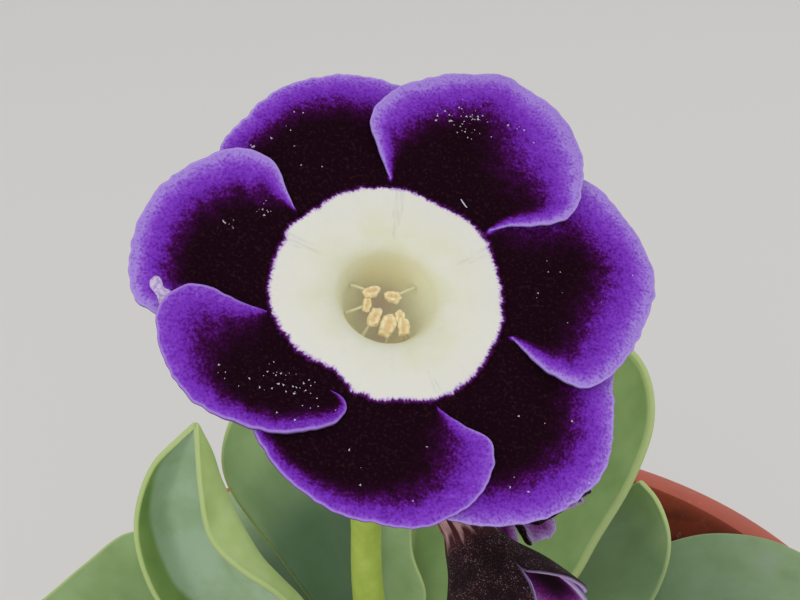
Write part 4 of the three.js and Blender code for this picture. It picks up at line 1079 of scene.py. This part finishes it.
def make_eye():
    """Eye, throat and tube as one turned skin, creased where two petals meet."""
    outer = smooth_curve(TUBE, np.linspace(0, 1, 22))
    inner = smooth_curve(THROAT, np.linspace(0, 1, 60))
    skin = turned_piece("eye_and_throat", [tuple(p) for p in outer] + [tuple(p) for p in inner], EYE_SEGMENTS)
    points = points_of(skin)
    radius = np.hypot(points[:, 0], points[:, 1])
    degrees = np.degrees(np.arctan2(points[:, 1], points[:, 0])) % 360
    notches = np.sort([petal["outline"][0][0] % 360 for petal in PETALS])
    notches = np.concatenate([[notches[-1] - 360], notches, [notches[0] + 360]])
    place = np.clip(np.searchsorted(notches, degrees, side="right"), 1, len(notches) - 1)
    low, high = notches[place - 1], notches[place]
    side = 2 * (degrees - low) / (high - low) - 1
    ease = np.clip((radius - 4.6) / 3.7, 0, 1) ** 2
    rim_height = PETAL_THICKNESS / 2 - 0.25 * (1 - side**2)
    inside = np.abs(points[:, 2] - np.interp(radius, inner[::-1, 0], inner[::-1, 1])) < 0.08
    down = np.where(inside, np.maximum(0, -points[:, 2]), TUBE_DEPTH)
    mark(skin, "down", down)
    # Painted light on the throat's left and right walls: strongest a little way down, none at the rim or deep
    # in the tube
    band = np.clip(down / 1.2, 0, 1) * np.clip(3 - down / 2, 0, 1)
    mark(skin, "sides", np.cos(np.radians(degrees)) ** 2 * band)
    mark_limb(skin, points[:, 0], points[:, 1])
    wrinkle = np.ones(len(points))
    for turn, start in WRINKLES:
        swerve = 1.2 * np.sin(radius * 0.9 + round(turn / 20))
        apart = np.radians((degrees - turn - swerve + 180) % 360 - 180) * radius
        wrinkle = np.minimum(wrinkle, np.abs(apart) + np.maximum(0, start - radius))
    mark(skin, "wrinkle", np.where(points[:, 2] > 0.05, wrinkle, 1))
    points[:, 2] += ease * (rim_height - 0.15) - 0.12 * ease * np.abs(side) ** 14
    move_points(skin, placed(points, PIP_FRAME))
    finish_piece(skin, eye_meal(), ["pip_eye"])


# Anthers in the throat: place on the bloom's plane, turn about its axis, lean and size, in mm and degrees
ANTHERS = [(-1.02, 0.65, -66, -10, 0.8), (-1.31, -0.36, -10, 0, 0.65), (-0.79, -1.27, -19, 12, 0.85),
           (0.15, -1.85, -20, 15, 1.05), (0.99, -1.18, 9, 5, 0.7), (1.25, -1.85, 3, 15, 0.8),
           (0.48, 0.36, -90, -8, 0.8)]
ANTHER_HEIGHT = -1.3


def make_anthers():
    """Anthers crowded in the throat on short filaments: one two-lobed anther, copied."""
    first = added("anther", bpy.ops.mesh.primitive_uv_sphere_add, segments=32, ring_count=20, radius=1)
    shape = vectors_of(first, "co")
    squared = np.sign(shape) * np.abs(shape) ** 0.75
    furrow = np.exp(-(shape[:, 0] / 0.3) ** 2) * np.clip(1.6 - 1.6 * np.abs(shape[:, 1]), 0, 1)
    shape = squared * (0.5, 0.78, 0.4)
    shape[:, 2] *= 1 - 0.45 * furrow
    mark(first, "furrow", furrow)
    pieces, threads = [], []
    for x, y, roll, lean, size in ANTHERS:
        anther = first.copy()
        anther.data = first.data.copy()
        bpy.context.collection.objects.link(anther)
        turn = Matrix.Rotation(math.radians(roll), 3, "Z") @ Matrix.Rotation(math.radians(lean), 3, "X")
        knobs = noise_at(*(shape * 2.8 + np.array([x, y, 0]) * 9).T)
        bent = shape * (1 + 0.34 * knobs)[:, None] * size
        move_points(anther, placed(bent @ np.array(turn).T + (x, y, ANTHER_HEIGHT), PIP_FRAME))
        pieces.append(anther)
        away = math.hypot(x, y)
        route = [(away + 0.2, ANTHER_HEIGHT - 0.15), (away + 0.75 * (2.4 - away), ANTHER_HEIGHT - 0.5),
                 (2.75, -2.2)]
        path = np.array([(reach * x / away, reach * y / away, z) for reach, z in route])
        threads.append(stem("filament", placed(path, PIP_FRAME), [0.1, 0.1, 0.16], 12))
    bpy.data.objects.remove(first)
    finish_piece(joined("anthers", pieces), pollen())
    finish_piece(joined("anther_threads", threads), filament_skin())


def calyx(foot, facing, tube_radius, height):
    """A green cup with pointed teeth around the foot of a bloom's tube."""
    inner = tube_radius + 0.3
    rings = [(0.9, -1.7), (0.7 * inner + 0.4, -1.1), (inner + 0.45, -0.2), (inner + 0.65, 0.6),
             (inner + 0.7, 0.5 * height), (inner + 0.8, 0.75 * height), (inner + 0.85, height),
             (inner + 0.35, height), (inner + 0.1, 0.7 * height), (inner, 0.4 * height), (inner, -0.25)]
    cup = turned_piece("calyx", rings, 96)
    points = points_of(cup)
    angle = np.arctan2(points[:, 1], points[:, 0])
    share = np.clip((points[:, 2] - 0.5 * height) / (0.5 * height), 0, 1)
    points[:, 2] -= share * 0.35 * height * (0.5 - 0.5 * np.cos(CALYX_TEETH * angle))
    move_points(cup, placed(points, frame_at(foot, facing)))
    return cup


def make_stalk():
    """Scape, pedicels, calyces and bracts, grown as one."""
    main_foot = PIP_CENTRE - PIP_FACING * TUBE_LENGTH
    blooms = [
        (main_foot, PIP_FACING, TUBE_RADIUS, 4.6, [(-10, -4.5, 104), (-10.4, -8, 109.5)]),
        (SIDE_FOOT, SIDE_FACING, 1.6, 3, [(-9, -7, 103.5), (-7.5, -12, 108)]),
        (BUD_FOOT, BUD_FACING, 1.4, 2.6, [(-6.3, -3, 103.5), (-2.4, -5, 107.6)]),
    ]
    scape = stem("scape", [(-8.9, 2, CROWN_TOP + 0.35), (-9.8, 1.8, 82), (-9.8, 0, 91), UMBEL],
                 [1.75, 1.5, 1.4, 1.6], 80)
    pieces = [scape]
    for foot, facing, radius, height, bend in blooms:
        end = foot - facing * 1.2
        pieces.append(stem("pedicel", [UMBEL, *bend, end], [0.75, 0.75, 0.9], 40))
        pieces.append(calyx(foot, facing, radius, height))
    for number, turn in enumerate((20, 110, 200, 290)):
        bract, along, across = flat_grid("bract", 16, 9)
        side = 0.9 * (2 * across - 1) * (1 - along**1.6)
        out_x, out_y = polar(1, turn)
        reach = 0.9 + 2.2 * along + 0.2 * (1 - side**2)
        rise = UMBEL.z - 1 + (3.4 + 0.4 * (number % 2)) * along
        move_points(bract, np.column_stack([UMBEL.x + out_y * side + out_x * reach,
                                            UMBEL.y - out_x * side + out_y * reach, rise]))
        thicken(bract, 0.45)
        merge_doubles(bract)
        pieces.append(bract)
    whole = joined("stalk_and_calyces", pieces)
    finish_piece(whole, stalk_skin(), ["flower_stalk"])


def mark_young(piece, margin, lining, height, angle, tube_length):
    """The marks that the lobes and the tube of a young bloom share."""
    mark(piece, "margin", margin)
    mark(piece, "lining", lining)
    mark(piece, "rim", np.clip(margin / YOUNG_RIM, 0, 1))
    mark(piece, "down", np.clip(1 - (height - tube_length) / YOUNG_FALL, 0, 1))
    mark(piece, "streak", np.column_stack([polar(2.0, angle), 0.15 * height]))


def make_young_bloom(name, node, material, foot, facing, profile, tube_radius, tube_length, lobes):
    """A half-open bloom: overlapping lobes on a bell that widens from a closed tube.

    Each lobe has its turn and half its width in degrees, its reach, how far its tip curls out, whether its
    two sides lie outside (1) or inside (-1) their neighbours, how pale the line on its tip is, and how blunt
    it is: 1 is pointed and 8 nearly square."""
    matrix = frame_at(foot, facing)
    pieces = []
    even = np.linspace(0, 1, 200)
    bell = smooth_curve(profile, even, by_length=False)
    for number, (turn, half, reach, curl, laps, pale, blunt) in enumerate(lobes):
        lobe, along, across = flat_grid("young_petal", 26, 40)
        side = 2 * across - 1
        place = reach * along * (1 - 0.4 * np.abs(side) ** blunt)
        width = half * (0.8 + 0.2 * np.sin(np.pi * np.minimum(1, along * 0.8)))
        ripple = noise_at(side * 2.6, number, 3)
        radius = np.interp(place, even, bell[:, 0])
        height = np.interp(place, even, bell[:, 1]) + 0.3 * ripple * along**3
        lap = np.where(side < 0, laps[0], laps[1]) * np.abs(side) ** 1.5
        lift = (0.3 * lap * np.minimum(1, 2 * along) + curl * along**3 * (1 - 0.4 * side**2)
                + 0.4 * ripple * along**2)
        angle = turn + side * width
        points = np.column_stack([polar(radius + lift, angle), height])
        rim = points[(along > 0.999) | ((np.abs(side) > 0.999) & (along > 0.25))]
        margin, _ = distance_to_edge(points, rim)
        mark_young(lobe, margin, pale * np.clip(5 * along - 3.4, 0, 1), height, angle, tube_length)
        move_points(lobe, placed(points, matrix))
        thicken(lobe, YOUNG_THICKNESS)
        pieces.append(lobe)
    (neck, start), (throat, end) = profile[:2]
    rings = [(tube_radius - 0.2, 0), (tube_radius, 0.5 * tube_length), (tube_radius, tube_length),
             (neck + 0.17, start), (throat + 0.14, end), (throat - 0.25, end + 0.1),
             (neck - 0.3, start), (tube_radius - 0.8, tube_length), (0.3, tube_length - 0.4)]
    tube = turned_piece("young_tube", rings, 64)
    points = points_of(tube)
    angle = np.degrees(np.arctan2(points[:, 1], points[:, 0]))
    mark_young(tube, 9.0, 0, points[:, 2], angle, tube_length)
    mark(tube, "under", 0)
    move_points(tube, placed(points, matrix))
    finish_piece(joined(name, [*pieces, tube]), material, [node])


def make_young_blooms():
    """The hanging side bloom and the opening one behind it."""
    skin = young_petal()
    make_young_bloom(
        "side_bloom", "side_pip", skin, SIDE_FOOT, SIDE_FACING,
        [(1.9, 6.5), (2.5, 8.2), (3.9, 10.5), (4.9, 13), (5.5, 15.4)], 1.6, 5.5,
        [(-28, 46, 0.97, 0, (-1, -1), 0.8, 3), (-4, 70, 0.88, 0.25, (1, -1), 0, 1),
         (114, 48, 1, 0.2, (1, 1), 0.8, 3), (162, 38, 1, 0.4, (-1, 1), 0.8, 3),
         (212, 38, 0.96, 0.3, (-1, 1), 0.8, 3), (268, 38, 1, 0.3, (-1, 1), 0.8, 3)])
    make_young_bloom(
        "opening_bloom", "opening_bud", skin, BUD_FOOT, BUD_FACING,
        [(1.4, 3), (2.1, 4.8), (3.2, 6.8), (3.8, 8.8), (4.1, 11.2)], 1.4, 2.2,
        [(214, 33, 0.95, 0, (1, 1), 0.5, 3), (268, 31, 0.98, 0.1, (-1, -1), 0.5, 3),
         (320, 32, 0.87, 0.3, (1, -1), 0.9, 6), (38, 34, 0.85, 0, (1, 1), 0, 8),
         (90, 34, 0.86, 0, (-1, -1), 0, 8), (126, 7, 0.95, 0, (1, 1), 0, 3),
         (160, 32, 0.6, 0, (-1, -1), 0, 3)])


def make_studio():
    """Pale paper floor, even sky light, two soft lamps and the camera of the photograph."""
    floor = added("studio_floor", bpy.ops.mesh.primitive_plane_add, size=4, location=(0, 0, 0))
    floor.data.materials.append(paper_floor())
    world = bpy.data.worlds.new("studio")
    world.use_nodes = True
    feed(world.node_tree, world.node_tree.nodes["Background"], {"Color": "#f4f4f6", "Strength": 0.8})
    bpy.context.scene.world = world
    for name, place, size, power in (("window", (-0.12, -0.8, 0.34), 0.8, 2.6),
                                     ("top", (0.3, 0.1, 0.9), 0.8, 1.0)):
        lamp = added(name, bpy.ops.object.light_add, type="AREA", location=place)
        lamp.data.size = size
        lamp.data.energy = power
        aim = Vector((0, 0, 0.1)) - Vector(place)
        lamp.rotation_euler = aim.to_track_quat("-Z", "Y").to_euler()
    camera = bpy.data.objects.new("camera", bpy.data.cameras.new("camera"))
    bpy.context.collection.objects.link(camera)
    camera.location = [v * MM for v in CAMERA_PLACE]
    camera.rotation_euler = (math.radians(90 - CAMERA_PITCH), 0, 0)
    camera.data.lens = CAMERA_LENS
    camera.data.sensor_width = 36
    camera.data.clip_start = 0.005
    bpy.context.scene.camera = camera
    bpy.context.scene.view_settings.view_transform = "Standard"


make_pot()
make_soil()
make_rootstock()
make_leaves()
make_stalk()
make_petals()
make_eye()
make_anthers()
make_young_blooms()
make_studio()
